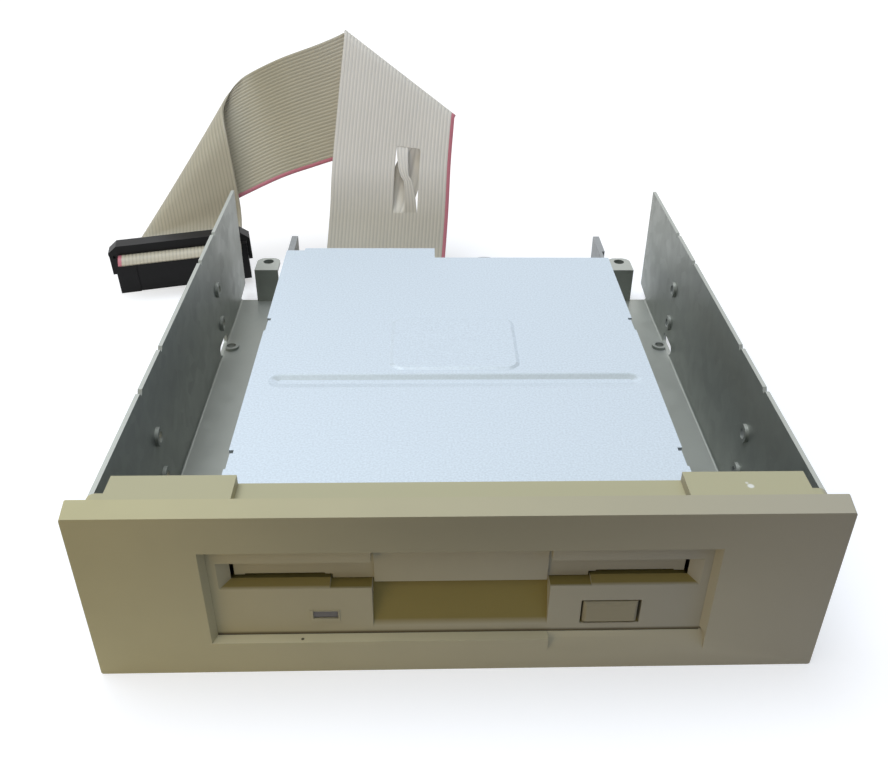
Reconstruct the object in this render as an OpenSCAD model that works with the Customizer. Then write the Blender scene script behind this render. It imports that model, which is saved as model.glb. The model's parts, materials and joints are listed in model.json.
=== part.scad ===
// Floppy disk drive in a half-height adaptor: bezel, tray, drive, mechanism and folded ribbon cable.
// Lengths are in millimetres. X runs right, Y runs back, Z runs up, and the object stands on z = 0.
// Pieces are drawn from the bezel's front plane, and from_front() moves them so that the origin lies
// under the middle of the object's box, measured without the cable.

/* [Adaptor bezel] */
// Width of the bezel's front
bezel_w = 149.5; // [148:0.5:152]
// Height of the bezel's front
bezel_h = 41.8; // [41.4:0.2:44]
// Depth of the bezel's rim
bezel_rim = 5.8; // [5:0.2:7]
// Thickness of the bezel's front wall
bezel_wall = 2.4; // [2:0.1:3]
// How far the bezel's hollow frame reaches behind the rim
frame_reach = 7.6; // [7:0.2:12]
// How far the window's side walls lean inwards
window_draft = 0.8; // [0:0.1:1.5]
// Height of the bezel above the window
window_head = 8.8; // [8:0.1:9.5]
// Height of the bezel's screw bosses above the ground
boss_z = 10; // [9:0.5:14]

/* [Mounting tray] */
// Width over the tray's walls, the standard for a half-height device
tray_w = 146.05; // [145:0.05:147]
// Sheet thickness of the tray
tray_t = 1.0; // [0.8:0.1:1.2]
// Height of the tray's floor above the ground, to its underside
tray_z = 1.0; // [0.5:0.1:2]
// Height of the tray's walls
tray_wall_h = 37.8; // [36:0.1:39]
// Depth of the tray's walls
tray_wall_d = 162.6; // [160:0.2:190]
// How far the walls run past the floor at the back
wall_overhang = 9.5; // [8:0.5:14]
// Distance from the bezel's rim to the first mounting holes
hole_first = 47.4; // [46:0.1:49]
// Distance between the mounting holes along the depth
hole_pitch = 79.25; // [78:0.05:81]
// Height of the lower side holes above the tray's underside
hole_low = 10.0; // [9:0.1:11]
// Height between the lower and upper side holes
hole_rise = 11.84; // [11:0.02:13]
// Distance from the tray's side to the floor holes
floor_hole_inset = 3.175; // [2.5:0.025:4.5]
// Radius of the tapped mounting holes
tap_r = 1.4; // [1.2:0.05:1.6]

/* [Drive] */
// Width of the drive's chassis
drive_w = 101.2; // [100.6:0.2:101.8]
// Height of the drive over its cover
drive_h = 24.0; // [23.6:0.1:25]
// Depth of the drive's chassis
drive_d = 150.3; // [149:0.1:160]
// Height of the drive's underside above the ground
drive_z = 8.0; // [7.5:0.1:9]
// Thickness of the chassis side walls
chassis_wall = 2.0; // [1.9:0.1:2.4]
// Thickness of the chassis base
base_t = 1.6; // [1.2:0.1:1.8]
// Sheet thickness of the cover
cover_t = 0.8; // [0.6:0.1:0.9]
// Thickness of the drive's face plate
face_t = 2.2; // [1.8:0.1:2.4]
// Distance between the drive's fixing screws across the width
fix_span = 93.0; // [90:0.5:94]
// Distance between the drive's fixing screws along the depth
fix_pitch = 60.0; // [55:1:64]

/* [Mechanism] */
// Travel of the eject button and slider
eject_travel = 6.0; // [5:0.5:7]
// Drop of the disk cage
cage_drop = 2.5; // [2:0.1:2.7]
// Radius of the spindle's rotor
rotor_r = 25.5; // [24:0.5:26]
// Radius of the spindle's shaft
shaft_r = 2.0; // [1.5:0.1:2.5]
// Radius of the head carriage's guide rods
rod_r = 1.5; // [1.2:0.1:1.8]
// Radius of the lead screw
screw_r = 1.4; // [1:0.1:1.6]
// Angle by which the upper head arm is lifted at rest
arm_lift = 7.6; // [7:0.1:8]

/* [Cable] */
// Width of the ribbon, which has 34 conductors
ribbon_w = 42.8; // [42:0.1:43.4]
// Thickness of the ribbon
ribbon_t = 0.9; // [0.7:0.1:1]
// Yaw of the host connector on the table, in degrees
host_yaw = 11; // [8:1:14]
// Roll of the host connector on the table, in degrees
host_roll = 2.5; // [2:0.1:3]

/* [Hidden] */
$fn = 48;

// Clearances used throughout: a fixed fit, a running fit, and the air between moving faces
fixed_gap = 0.02;
run_gap = 0.05;
move_gap = 0.3;

// Bezel and tray
frame_back = bezel_rim + frame_reach;
frame_w = bezel_w - 2.1;
frame_z = 1.2;
frame_top = bezel_h - 2.3;
frame_wall = 2.0;
rim_flare = 0.8;
block_x = [44.2, 68.7];
wing_back = frame_back - 2.8;
block_back = frame_back - 0.1;
block_top = bezel_h - 0.1;
boss_inset = 11;
boss_x = tray_w / 2 - boss_inset;
boss_r = 3.6;
tray_front = frame_back;
tray_back = tray_front + tray_wall_d;
floor_back = tray_back - wall_overhang;
floor_top = tray_z + tray_t;
wall_top = tray_z + tray_wall_h;
tray_bend = 1.6;
hole_y = [bezel_rim + hole_first, bezel_rim + hole_first + hole_pitch];
hole_z = [tray_z + hole_low, tray_z + hole_low + hole_rise];
collar_r = 2.4;
collar_h = 0.9;
floor_hole_x = tray_w / 2 - floor_hole_inset;
notch_y = [48.5, 68.5, 118.5, 139];
tab_w = 8;
tab_inset = 6.8;
tab_x = [tray_w / 2 - tab_inset - tab_w, tray_w / 2 - tab_inset];
tab_top = tray_z + 13;

// Drive casing
half_w = drive_w / 2;
inner_w = half_w - chassis_wall;
drive_top = drive_z + drive_h;
cover_under = drive_top - cover_t;
base_top = drive_z + base_t;
face_y = bezel_wall + 0.1;
face_back = face_y + face_t;
face_w = drive_w + 0.4;
window_w = drive_w + 0.4;
window_z = [drive_z + 0.55, bezel_h - window_head];
wedge_x = 18.1;
chassis_front = face_back;
chassis_back = chassis_front + drive_d;
ear_l = 12;
ear_front = chassis_back - ear_l;
cover_front = 9;
panel_y = ear_front - 60.5;
groove_y = ear_front - 79;
press_depth = 0.4;
skirt_z = drive_top - 9;
skirt_in = half_w - cover_t;
fix_y = [chassis_front + 18.8, chassis_front + 18.8 + fix_pitch];
slot_z = [drive_z + 14.35, drive_z + 20.15];
slot_x = 46.1;
step_x = 26.3;
step_z = slot_z[0] - 1.1;
sill_back = face_back + 2.5;
sill_drop = 0.8;
scoop_x = 17.95;
scoop_top = slot_z[0] - 2.1;
scoop_bottom = slot_z[0] - 11.85;
flap_x = slot_x - 0.6;
flap_gap = 0.4;
hinge_y = face_back + 1.5;
hinge_z = drive_z + 22.2;
hinge_r = 0.7;
led_x = [-30, -25.15];
led_z = [drive_z + 5.05, drive_z + 7];
button_x = [25.15, 36.5];
button_z = [drive_z + 2.9, drive_z + 8.65];
button_out = 0.5;
button_edge = 0.6;

// Depths of the mechanism, from the back of the chassis forwards
board_inset = 4;
motor_tail = 4;
motor_l = 15;
carriage_gap = 4;
carriage_l = 12;
pivot_inset = 2;
arm_reach = 28;
track_r = 38.5;
bay_end = 7;
board_back = chassis_back - board_inset;
motor_y = [board_back - motor_tail - motor_l, board_back - motor_tail];
block_y = [motor_y[0] - carriage_gap - carriage_l, motor_y[0] - carriage_gap];
pivot_y = block_y[0] + pivot_inset;
head_y = pivot_y - arm_reach;
spindle_y = head_y - track_r;
cage_y = [16.2, head_y + bay_end];
rod_y = [cage_y[1] + 0.6, motor_y[0] + 0.6];

// Loading mechanism
sheet = 0.8;
slider_z = drive_z + 9;
slider_in = inner_w - 1.4;
slider_out = slider_in + sheet;
slider_front = 19;
slider_back = cage_y[1] + 5;
slider_wall_y = 30;
slider_bar = 8;
slider_gap_x = 33;
cage_out = slider_in - 0.4;
cage_top = cover_under - 2.0;
cage_bottom = drive_z + 14.4;
cage_lip = 3.8;
pin_y = [cage_y[0] + 19.8, cage_y[1] - 11];
pin_z = drive_z + 17;
pin_r = 0.9;
slope = atan(cage_drop / eject_travel);
slope_l = sqrt(cage_drop * cage_drop + eject_travel * eject_travel);
spring_x = 41;
spring_y = [24.5, 50];
spring_z = base_top + 4;
latch_at = [34, cage_y[1] + 9];
latch_z = drive_z + 15.8;
latch_t = 1.4;

// Spindle
motor_board_x = 36;
motor_board_y = [spindle_y - 31.5, spindle_y + 32.5];
motor_board_top = base_top + 1.2;
rotor_z = [motor_board_top + 0.4, motor_board_top + 4.8];
rotor_wall = 2;
stator_h = 2.8;
hub_r = 13.5;
hub_z = [drive_z + 11.6, drive_z + 12.8];
drive_pin_at = 9.8;
sensor_at = [[-29, 30], [-29, 38], [29, 30]];
sensor_half = [2.3, 2.5];

// Heads
pivot_z = drive_z + 18;
pivot_r = 0.8;
rod_x = [-10, 25];
rod_z = drive_z + 7.5;
clamp_half = 3;
clamp_l = 3.2;
screw_x = 12.2;
screw_z = drive_z + 10;
motor_r = 9.5;
bracket_t = 1.2;
arm_half = 6;
arm_l = 32;
head_half = [2.6, 2.8];

// Electronics
board_top = base_top + 1.6;
board_gap = 0.6;
board_front = cage_y[1] + 3;
board_strip = 16;
header_x = -22.5;
header_y = board_back - 10;
pin_pitch = 2.54;
pin_w = 0.64;
pin_l = 6;
pin_steps = 16;
pins_half = pin_steps / 2 * pin_pitch + pin_w / 2;
header_end = 0.96;
header_half = pins_half + header_end;
row_z = [board_top + 1.7, board_top + 1.7 + pin_pitch];
power_x = [29, 41.2];
board_screw_at = [[-44, board_front + 5], [44, board_back - 12]];
motor_screw_at = [[-33, spindle_y + 29.5], [33, spindle_y + 29.5], [-33, spindle_y - 28],
    [33, spindle_y - 28]];

// Drive-end plug
plug_front = header_y + 3.5;
plug_back = plug_front + 9;
plug_z = [board_top + 0.4, board_top + 6.2];
plug_end = 0.8;
plug_half = header_half + plug_end;
socket_half = pins_half + 0.56;
ribbon_y = plug_back + 0.1 + ribbon_t / 2;
bar_y = ribbon_y + 4.6 + ribbon_t / 2 + 0.1;

// Host connector, placed from the plug's ribbon plane
host_at = [-72, 29];
host_l = 46.5;
host_d = 6.4;
host_h = 13.5;
host_slot = ribbon_t + 0.2;
host_cap_h = 3.3;
host_lift = host_l / 2 * sin(host_roll) + 0.05;

// Ribbon route: middle of the ribbon and the vector from there to its red edge,
// measured from the header's middle, the plug's ribbon plane and the ground
flat = [ribbon_w / 2, 0, 0];
plug_route = [
    [[0, 0, board_top - 0.4], flat],
    [[0, 0, board_top + 6.4], flat],
    [[0, 0.7, board_top + 8.1], flat],
    [[0, 2.3, board_top + 8.8], flat],
    [[0, 3.9, board_top + 8.1], flat],
    [[0, 4.6, board_top + 6.4], flat],
    [[0, 4.6, board_top - 0.4], flat],
    [[0, 5.8, board_top - 3.2], flat]
];
free_route = [
    [[0, 8.5, 6.5], flat],
    [[0, 14, 5.5], flat],
    [[0.5, 19.5, 6.5], flat],
    [[1, 23.5, 10], flat],
    [[2.5, 35, 25.5], [21.4, -0.8, 0]],
    [[3.5, 45, 40.5], [21.4, -0.8, 0]],
    [[6.5, 62.5, 67], [19.8, -9.2, -12.6]],
    [[6.5, 64, 67.5], [19.9, -9.2, -12.6]],
    [[6.5, 65.5, 66.5], [19.9, -9.3, -12.6]],
    [[-15, 64.5, 58.5], [8.4, -10.9, -16.2]],
    [[-31.5, 66.5, 52.5], [7, -12.2, -16.2]],
    [[-46, 67.5, 46.5], [4.1, -13.8, -16.4]],
    [[-68.5, 59, 37], [-13.3, -19.5, -22.9]],
    [[-73.3, 56, 33.9], [-15.1, -18, -22.9]],
    [[-75.4, 51.7, 32.1], [-16.2, -15.1, -22.2]],
    [[-75.3, 47.4, 30.6], [-17.2, -12.4, -21]],
    [[-74.8, 44.3, 28.6], [-18.2, -10.3, -18.7]],
    [[-73.5, 40.4, 22.4], [-19.8, -6.5, -9.9]],
    [[-73, 38.6, 18.6], [-20.5, -5.4, -5]],
    [[-73.1, 36, host_h + 2.3], [-20.9, -4.4, -1.7]],
    [[-73.5, 33, host_h + 1.6], [-21, -4.1, -0.9]],
    [[-72, 25.4, host_h + 1.6], [-21, -4.1, -0.9]],
    [[-71.6, 23.4, host_h + 1.2], [-21, -4.1, -0.9]],
    [[-71.3, 21.8, host_h - 0.2], [-21, -4.1, -0.9]]
];
route = concat(plug_route, free_route);

// Colours
beige = [0.68, 0.63, 0.52];
greige = [0.66, 0.61, 0.53];
steel = [0.62, 0.65, 0.63];
zinc = [0.80, 0.85, 0.88];
cast = [0.58, 0.60, 0.61];
dark = [0.12, 0.12, 0.13];
black = [0.05, 0.05, 0.06];
green = [0.10, 0.30, 0.20];
gold = [0.80, 0.65, 0.30];
white = [0.88, 0.87, 0.82];
grey = [0.60, 0.58, 0.55];
smoke = [0.42, 0.38, 0.40];

// Moves a piece from the bezel's front plane to the shared origin
module from_front() {
    translate([0, -tray_back / 2, 0])
        children();
}

// A box from its limits along X, Y and Z
module box(x, y, z) {
    translate([x[0], y[0], z[0]])
        cube([x[1] - x[0], y[1] - y[0], z[1] - z[0]]);
}

// A flat outline in X and Z, drawn out along Y
module along_y(y0, y1) {
    translate([0, y1, 0])
        rotate([90, 0, 0])
            linear_extrude(y1 - y0)
                children();
}

// A flat outline in Y and Z, drawn out along X
module along_x(x0, x1) {
    translate([x0, 0, 0])
        rotate([90, 0, 90])
            linear_extrude(x1 - x0)
                children();
}

// Round bars along each axis
module bar_along_x(x0, x1, y, z, r) {
    translate([x0, y, z])
        rotate([0, 90, 0])
            cylinder(r = r, h = x1 - x0);
}

module bar_along_y(x, y0, y1, z, r) {
    translate([x, y0, z])
        rotate([-90, 0, 0])
            cylinder(r = r, h = y1 - y0);
}

module post(x, y, z0, z1, r) {
    translate([x, y, z0])
        cylinder(r = r, h = z1 - z0);
}

// The same piece on the right and, mirrored, on the left
module both_sides() {
    children();
    mirror([1, 0, 0])
        children();
}

// A flat rectangle with round corners
module rounded(w, h, r) {
    square([w - 2 * r, h], center = true);
    square([w, h - 2 * r], center = true);
    for (x = [-1, 1], y = [-1, 1])
        translate([x * (w / 2 - r), y * (h / 2 - r)])
            circle(r = r);
}

// Cross recess of a screw whose head faces up at the origin
module cross_recess(r, depth) {
    translate([-r * 0.6, -r * 0.13, -depth])
        cube([r * 1.2, r * 0.26, depth + 1]);
    translate([-r * 0.13, -r * 0.6, -depth])
        cube([r * 0.26, r * 1.2, depth + 1]);
}

// A screw along -Z: its head's seat is at the origin
module screw(head_r, head_h, shank_r, shank_l) {
    difference() {
        cylinder(r = head_r, h = head_h);
        translate([0, 0, head_h])
            cross_recess(head_r, head_h * 0.6);
    }
    translate([0, 0, -shank_l])
        cylinder(r = shank_r, h = shank_l);
}

// Moulded bezel: its shell and two screw bosses
module adaptor_bezel() color(beige) {
    difference() {
        union() {
            bezel_shell();
            both_sides()
                bezel_boss();
        }
        both_sides()
            bar_along_y(boss_x, frame_back - 9, frame_back + 1, boss_z, 1.25);
    }
}

// Rim, a hollow frame behind it, two top blocks and the drive's window
module bezel_shell() {
    difference() {
        union() {
            hull() {
                rim_slice(0, bezel_w);
                rim_slice(bezel_rim - 0.1, bezel_w + 2 * rim_flare);
            }
            along_y(bezel_rim - 1, frame_back)
                translate([0, (frame_z + frame_top) / 2])
                    rounded(frame_w, frame_top - frame_z, 2.5);
            both_sides()
                box(block_x, [bezel_rim - 1, block_back], [frame_top - 1, block_top]);
        }
        box([-frame_w / 2 + frame_wall, frame_w / 2 - frame_wall], [bezel_wall, frame_back + 1],
            [frame_z + frame_wall, frame_top - frame_wall]);
        both_sides()
            box([block_x[1], frame_w / 2 + 1], [wing_back, frame_back + 1], [frame_z - 1, frame_top + 1]);
        translate([0, 0, window_z[0]])
            linear_extrude(window_z[1] - window_z[0])
                window_plan();
        along_x(wedge_x, window_w / 2)
            finger_wedge();
    }
}

// Thin slice across the rim, which is wider at its back
module rim_slice(y, w) {
    along_y(y, y + 0.1)
        translate([0, bezel_h / 2])
            rounded(w, bezel_h, 0.5);
}

// Plan of the window through the front wall, narrower at the back
module window_plan() {
    a = window_w / 2;
    polygon([[-a, 0], [-a, -1], [a, -1], [a, 0], [a - window_draft, bezel_wall],
        [a - window_draft, bezel_wall + 1],
        [-a + window_draft, bezel_wall + 1], [-a + window_draft, bezel_wall]]);
}

// Section of the sloped finger hollow under the eject button
module finger_wedge() {
    polygon([[-1, window_z[0] - 4.8], [bezel_wall, window_z[0] + 0.3], [bezel_wall + 1, window_z[0] + 0.3],
        [bezel_wall + 1, window_z[0] + 1], [-1, window_z[0] + 1]]);
}

// Screw boss behind the front wall, with a rib down to the frame
module bezel_boss() {
    bar_along_y(boss_x, bezel_wall - 0.2, frame_back, boss_z, boss_r);
    box([boss_x - 0.8, boss_x + 0.8], [bezel_wall - 0.2, frame_back], [frame_z + 1, boss_z]);
}

// Folded tray: floor, side walls, tapped collars, front and rear tabs, raised seats for the drive
module mounting_tray() color(steel) {
    difference() {
        union() {
            along_y(tray_front, tray_back)
                tray_section();
            both_sides() {
                box([tray_w / 2 - tray_t, tray_w / 2], [wing_back, tray_front + 0.1],
                    [tray_z + tray_bend, wall_top]);
                box([boss_x - 6, boss_x + 6], [tray_front, tray_front + tray_t],
                    [tray_z + 0.2, boss_z + 6]);
                rear_tab();
                for (y = hole_y) {
                    for (z = hole_z)
                        bar_along_x(tray_w / 2 - tray_t - collar_h, tray_w / 2 - 0.2, y, z, collar_r);
                    post(floor_hole_x, y, tray_z + 0.2, floor_top + collar_h, collar_r);
                }
                for (y = fix_y)
                    post(fix_span / 2, y, tray_z + 0.2, drive_z, 4.2);
            }
        }
        along_x(-tray_w / 2 - 1, tray_w / 2 + 1)
            polygon([[floor_back, tray_z - 1], [tray_back + 1, tray_z - 1], [tray_back + 1, tray_z + 3],
                [floor_back, tray_z + 1.7]]);
        both_sides() {
            bar_along_y(boss_x, tray_front - 1, tray_front + tray_t + 1, boss_z, 1.7);
            for (y = hole_y) {
                for (z = hole_z)
                    bar_along_x(tray_w / 2 - 5, tray_w / 2 + 1, y, z, tap_r);
                post(floor_hole_x, y, tray_z - 1, floor_top + collar_h + 1, tap_r);
                relief_slot(y - 1);
            }
            for (y = notch_y)
                along_x(tray_w / 2 - tray_t - 1, tray_w / 2 + 1)
                    polygon([[y - 1.1, wall_top + 0.1], [y + 1.1, wall_top + 0.1], [y, wall_top - 1.3]]);
            for (y = fix_y) {
                post(fix_span / 2, y, tray_z - 1, drive_z - 1, 3.2);
                post(fix_span / 2, y, drive_z - 2, drive_z + 1, 1.6);
            }
        }
    }
}

// Section of the tray: a channel with rounded bends
module tray_section() {
    difference() {
        channel_fill(tray_w, tray_z, tray_bend);
        translate([0, 0.01])
            channel_fill(tray_w - 2 * tray_t, floor_top, tray_bend - tray_t);
    }
}

module channel_fill(w, z, r) {
    translate([-w / 2, z + r])
        square([w, wall_top - z - r]);
    translate([-w / 2 + r, z])
        square([w - 2 * r, r + 0.1]);
    for (x = [-1, 1])
        translate([x * (w / 2 - r), z + r])
            circle(r = r);
}

// Relief slot in the bend beside a floor hole
module relief_slot(y) {
    box([tray_w / 2 - tray_t - 0.6, tray_w / 2 + 1], [y - 3.8, y + 3.8], [tray_z + 1.1, tray_z + 4.5]);
    for (s = [-1, 1])
        bar_along_x(tray_w / 2 - tray_t - 0.6, tray_w / 2 + 1, y + s * 3.8, tray_z + 2.8, 1.7);
}

// Tab bent up from the floor's rear edge, with a flange that runs back
module rear_tab() {
    flange_l = wall_overhang - 0.5;
    collar_l = 3.4;
    tab_mid = (tab_x[0] + tab_x[1]) / 2;
    box(tab_x, [floor_back - tray_t, floor_back], [tray_z + 0.2, tab_top]);
    difference() {
        union() {
            box(tab_x, [floor_back - tray_t, floor_back + flange_l - 3], [tab_top - tray_t, tab_top]);
            box([tab_x[0] + 3, tab_x[1] - 3], [floor_back, floor_back + flange_l],
                [tab_top - tray_t, tab_top]);
            for (x = [tab_x[0] + 3, tab_x[1] - 3])
                post(x, floor_back + flange_l - 3, tab_top - tray_t, tab_top, 3);
            post(tab_mid, floor_back + flange_l - 3, tab_top - collar_l, tab_top - 0.2, 2.6);
        }
        post(tab_mid, floor_back + flange_l - 3, tab_top - collar_l - 1, tab_top + 1, 1.8);
    }
}

// Screws through the tray's front tabs into the bezel's bosses
module bezel_screws() color(zinc) {
    both_sides()
        translate([boss_x, tray_front + tray_t, boss_z])
            rotate([-90, 0, 0])
                screw(2.8, 2.0, 1.2, 8.0);
}

// Screws up through the tray's raised seats into the chassis
module drive_mount_screws() color(zinc) {
    both_sides()
        for (y = fix_y)
            translate([fix_span / 2, y, drive_z - 1])
                rotate([180, 0, 0])
                    screw(2.7, 1.8, 1.2, 5.0);
}

// Die-cast chassis: base, side walls, slider ledges, screw bosses and spring posts
module drive_chassis() color(cast) {
    difference() {
        union() {
            box([-half_w + 0.5, half_w - 0.5], [chassis_front, board_back], [drive_z, base_top]);
            both_sides() {
                box([inner_w, half_w], [chassis_front, chassis_back], [drive_z, cover_under]);
                box([slider_in - 1.7, inner_w + 0.2], [slider_wall_y, slider_back],
                    [slider_z - 2, slider_z - move_gap]);
                for (y = fix_y)
                    post(fix_span / 2, y, drive_z, base_top + 3.5, 2.6);
                post(spring_x, spring_y[0] - 1, drive_z + 1, base_top + 5.4, 1.0);
            }
        }
        both_sides() {
            box([skirt_in - 0.1, half_w + 1], [cover_front - 0.2, ear_front],
                [skirt_z - 0.2, cover_under + 1]);
            for (y = pin_y)
                box([inner_w - 0.1, inner_w + 1.1], [y - pin_r - move_gap, y + pin_r + move_gap],
                    [pin_z - cage_drop - pin_r - move_gap, pin_z + pin_r + move_gap]);
            for (y = fix_y)
                post(fix_span / 2, y, drive_z - 1, base_top + 2.8, 1.25);
        }
        box([screw_x - motor_r - 0.7, screw_x + motor_r + 0.7], [motor_y[0] - 0.3, motor_y[1] + 2],
            [drive_z - 1, base_top + 1]);
        for (p = concat(board_screw_at, motor_screw_at))
            post(p[0], p[1], drive_z + 0.3, base_top + 1, 1.05);
    }
}

// Pressed cover with side skirts, a raised panel and a long groove
module top_cover() color(zinc) {
    difference() {
        union() {
            translate([0, 0, cover_under])
                linear_extrude(cover_t)
                    cover_plan();
            translate([0.5, panel_y, drive_top])
                pressing(33.4, 27.4, 3.7, press_depth, 0.9);
            box([skirt_in, half_w], [cover_front, cover_back(7.5)], [skirt_z, cover_under + 0.1]);
            box([-half_w, -skirt_in], [cover_front, cover_back(2.2)], [skirt_z, cover_under + 0.1]);
        }
        translate([0.6, groove_y, drive_top])
            pressing(93, 6.4, 3.1, -press_depth, 2.3);
        both_sides()
            for (y = [cover_front + 25.6, ear_front - 46.8]) {
                box([half_w - 0.4, half_w + 1], [y - 6.6, y], [drive_top - 3.2, drive_top + 1]);
                box([half_w - 1.1, half_w + 1], [y - 0.9, y + 0.3], [drive_top - 3.2, drive_top + 1]);
            }
    }
}

// Rear edge of the cover, stepped forwards
function cover_back(step) = ear_front + 0.5 - step;

// Rounded panel with sloped sides, pressed up or, with a negative rise, down from z = 0
module pressing(w, h, r, rise, slope_w) {
    hull() {
        translate([0, 0, rise > 0 ? -0.1 : 0])
            linear_extrude(0.1)
                rounded(w, h, r);
        translate([0, 0, rise - 0.05])
            linear_extrude(0.05)
                rounded(w - 2 * slope_w, h - 2 * slope_w, r - slope_w);
    }
}

// Plan of the cover: its rear edge is stepped round the stepper motor
module cover_plan() {
    polygon([[-half_w, cover_front], [half_w, cover_front], [half_w, cover_back(7)], [-4, cover_back(7)],
        [-4, cover_back(0)], [-45, cover_back(0)], [-45, cover_back(1.7)], [-half_w, cover_back(1.7)]]);
}

// Face plate: slot with its stepped sill, finger scoop, light window, button hole and hinge lugs
module drive_face() color(greige) {
    difference() {
        union() {
            box([-face_w / 2, face_w / 2], [face_y, face_back], [window_z[0] - 0.5, window_z[1] + 0.6]);
            along_x(-scoop_x - 1.3, scoop_x + 1.3)
                polygon([[face_back - 0.5, scoop_bottom], [face_back + 3.4, slot_z[0] - 4.4],
                    [face_back + 3.4, scoop_top], [face_back - 0.5, scoop_top]]);
            box([led_x[0] - 0.75, led_x[1] + 0.45], [face_y - 0.25, face_y + 0.5],
                [led_z[0] - 0.95, led_z[1] + 0.2]);
            both_sides() {
                box([step_x, slot_x], [face_back - 0.5, sill_back], [step_z - 1.1, slot_z[0] - sill_drop]);
                box([scoop_x, step_x + 1], [face_back - 0.5, sill_back], [step_z - 1.1, step_z]);
                box([slot_x, slot_x + 2.2], [face_back - 0.5, face_back + 3.2],
                    [hinge_z - 1.8, hinge_z + 1.8]);
                box([inner_w - 1.6, inner_w - 0.2], [face_back - 0.5, face_back + 6],
                    [drive_z + 3, drive_z + 10]);
            }
        }
        intersection() {
            translate([0, 0, slot_z[0] - 3])
                linear_extrude(slot_z[1] - slot_z[0] + 4)
                    polygon([[-slot_x - 3.2, face_y - 1], [slot_x + 3.2, face_y - 1], [slot_x, face_back],
                        [slot_x, face_back + 0.1], [-slot_x, face_back + 0.1], [-slot_x, face_back]]);
            along_x(-50, 50)
                polygon([[face_y - 1, slot_z[0] - 1.6], [face_back, slot_z[0]], [face_back + 1, slot_z[0]],
                    [face_back + 1, slot_z[1]], [face_y - 1, slot_z[1]]]);
        }
        both_sides()
            box([scoop_x - 1, step_x], [face_y - 1, face_back + 0.1], [step_z, slot_z[0] + 1]);
        box([-scoop_x, scoop_x], [face_y - 1, face_back + 5], [slot_z[0], window_z[1] - 1.2]);
        along_x(-scoop_x, scoop_x)
            polygon([[face_y - 1, scoop_bottom], [face_y, scoop_bottom], [face_back + 1.9, scoop_top],
                [face_back + 1.9, slot_z[0] + 1], [face_y - 1, slot_z[0] + 1]]);
        box([led_x[0] - 0.1, led_x[1] + 0.1], [face_y - 1, face_back + 1],
            [led_z[0] - 0.1, led_z[1] + 0.1]);
        box([button_x[0] - 0.45, button_x[1] + 0.6], [face_y - 1, face_back + 1],
            [button_z[0] - 0.3, button_z[1] + 0.45]);
        bar_along_x(-50, 50, hinge_y, hinge_z, hinge_r + fixed_gap);
    }
}

// Spring-loaded door behind the slot, hung from its top edge
module door_flap() color(greige) {
    difference() {
        union() {
            flap_panel(flap_x, 0.5, slot_z[0] + flap_gap, hinge_z);
            flap_panel(step_x - flap_gap, 0.5, step_z + flap_gap, hinge_z);
            flap_panel(scoop_x - flap_gap, -0.1, slot_z[0] - 1.35, hinge_z + 1);
            bar_along_x(-flap_x, flap_x, hinge_y, hinge_z, 1.3);
        }
        bar_along_x(-50, 50, hinge_y, hinge_z, hinge_r + run_gap);
        box([-40.3, -33.7], [face_back, face_back + 4], [hinge_z - 1.5, hinge_z + 2]);
        both_sides()
            box([step_x + 1.1, flap_x - 2.1], [face_back, face_back + 3], [slot_z[0], slot_z[0] + 0.7]);
    }
}

// Panel of the door, across the middle: half width, distance behind the face, and heights
module flap_panel(half, behind, z0, z1) {
    box([-half, half], [face_back + behind, face_back + 1.7], [z0, z1]);
}

module door_pin() color(zinc) {
    bar_along_x(-slot_x - 2, slot_x + 2, hinge_y, hinge_z, hinge_r);
}

module door_spring() color(steel) {
    difference() {
        bar_along_x(-40, -34, hinge_y, hinge_z, 1.2);
        bar_along_x(-41, -33, hinge_y, hinge_z, hinge_r + fixed_gap);
    }
}

module led_lens() color(smoke) {
    box(led_x, [face_y + 0.1, face_back + 6], led_z);
}

// Button cap and the stem that pushes the slider
module eject_button() color(greige) {
    hull() {
        box(button_x, [face_y + 0.2, face_back + 4.2], button_z);
        box([button_x[0] + button_edge, button_x[1] - button_edge], [face_y - button_out, face_back],
            [button_z[0] + button_edge, button_z[1] - button_edge]);
    }
    box([27, 34], [face_back + 4, slider_front], [button_z[0] + 1.3, button_z[0] + 4.8]);
}

// Sheet slider: a frame under the disk and side walls whose sloped slots raise and lower the cage
module eject_slider() color(zinc) {
    difference() {
        union() {
            box([-slider_out, slider_out], [slider_front, slider_back], [slider_z, slider_z + sheet]);
            both_sides() {
                box([slider_in, slider_out], [slider_wall_y, slider_back], [slider_z, pin_z + 2]);
                box([spring_x - 1.5, spring_x + 1.5], [spring_y[1], spring_y[1] + sheet],
                    [spring_z - 1.6, slider_z + 0.2]);
            }
            box([26.5, 34.5], [slider_front, slider_front + sheet], [button_z[0] + 0.9, slider_z + 0.2]);
        }
        box([-slider_gap_x, slider_gap_x], [slider_front + slider_bar, slider_back + 1],
            [slider_z - 1, slider_z + 2]);
        both_sides()
            for (y = pin_y)
                translate([slider_in - 0.5, y, pin_z])
                    rotate([90, 0, 90])
                        linear_extrude(2)
                            rotate(-slope)
                                sloped_slot();
    }
}

module sloped_slot() {
    r = pin_r + move_gap;
    circle(r = r);
    translate([slope_l, 0])
        circle(r = r);
    translate([0, -r])
        square([slope_l, 2 * r]);
}

// Return springs between the chassis posts and the slider's tabs
module slider_springs() color(steel) {
    both_sides()
        difference() {
            bar_along_y(spring_x, spring_y[0], spring_y[1], spring_z, 1.4);
            bar_along_y(spring_x, spring_y[0] - 1, spring_y[1] + 1, spring_z, 0.9);
        }
}

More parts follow.
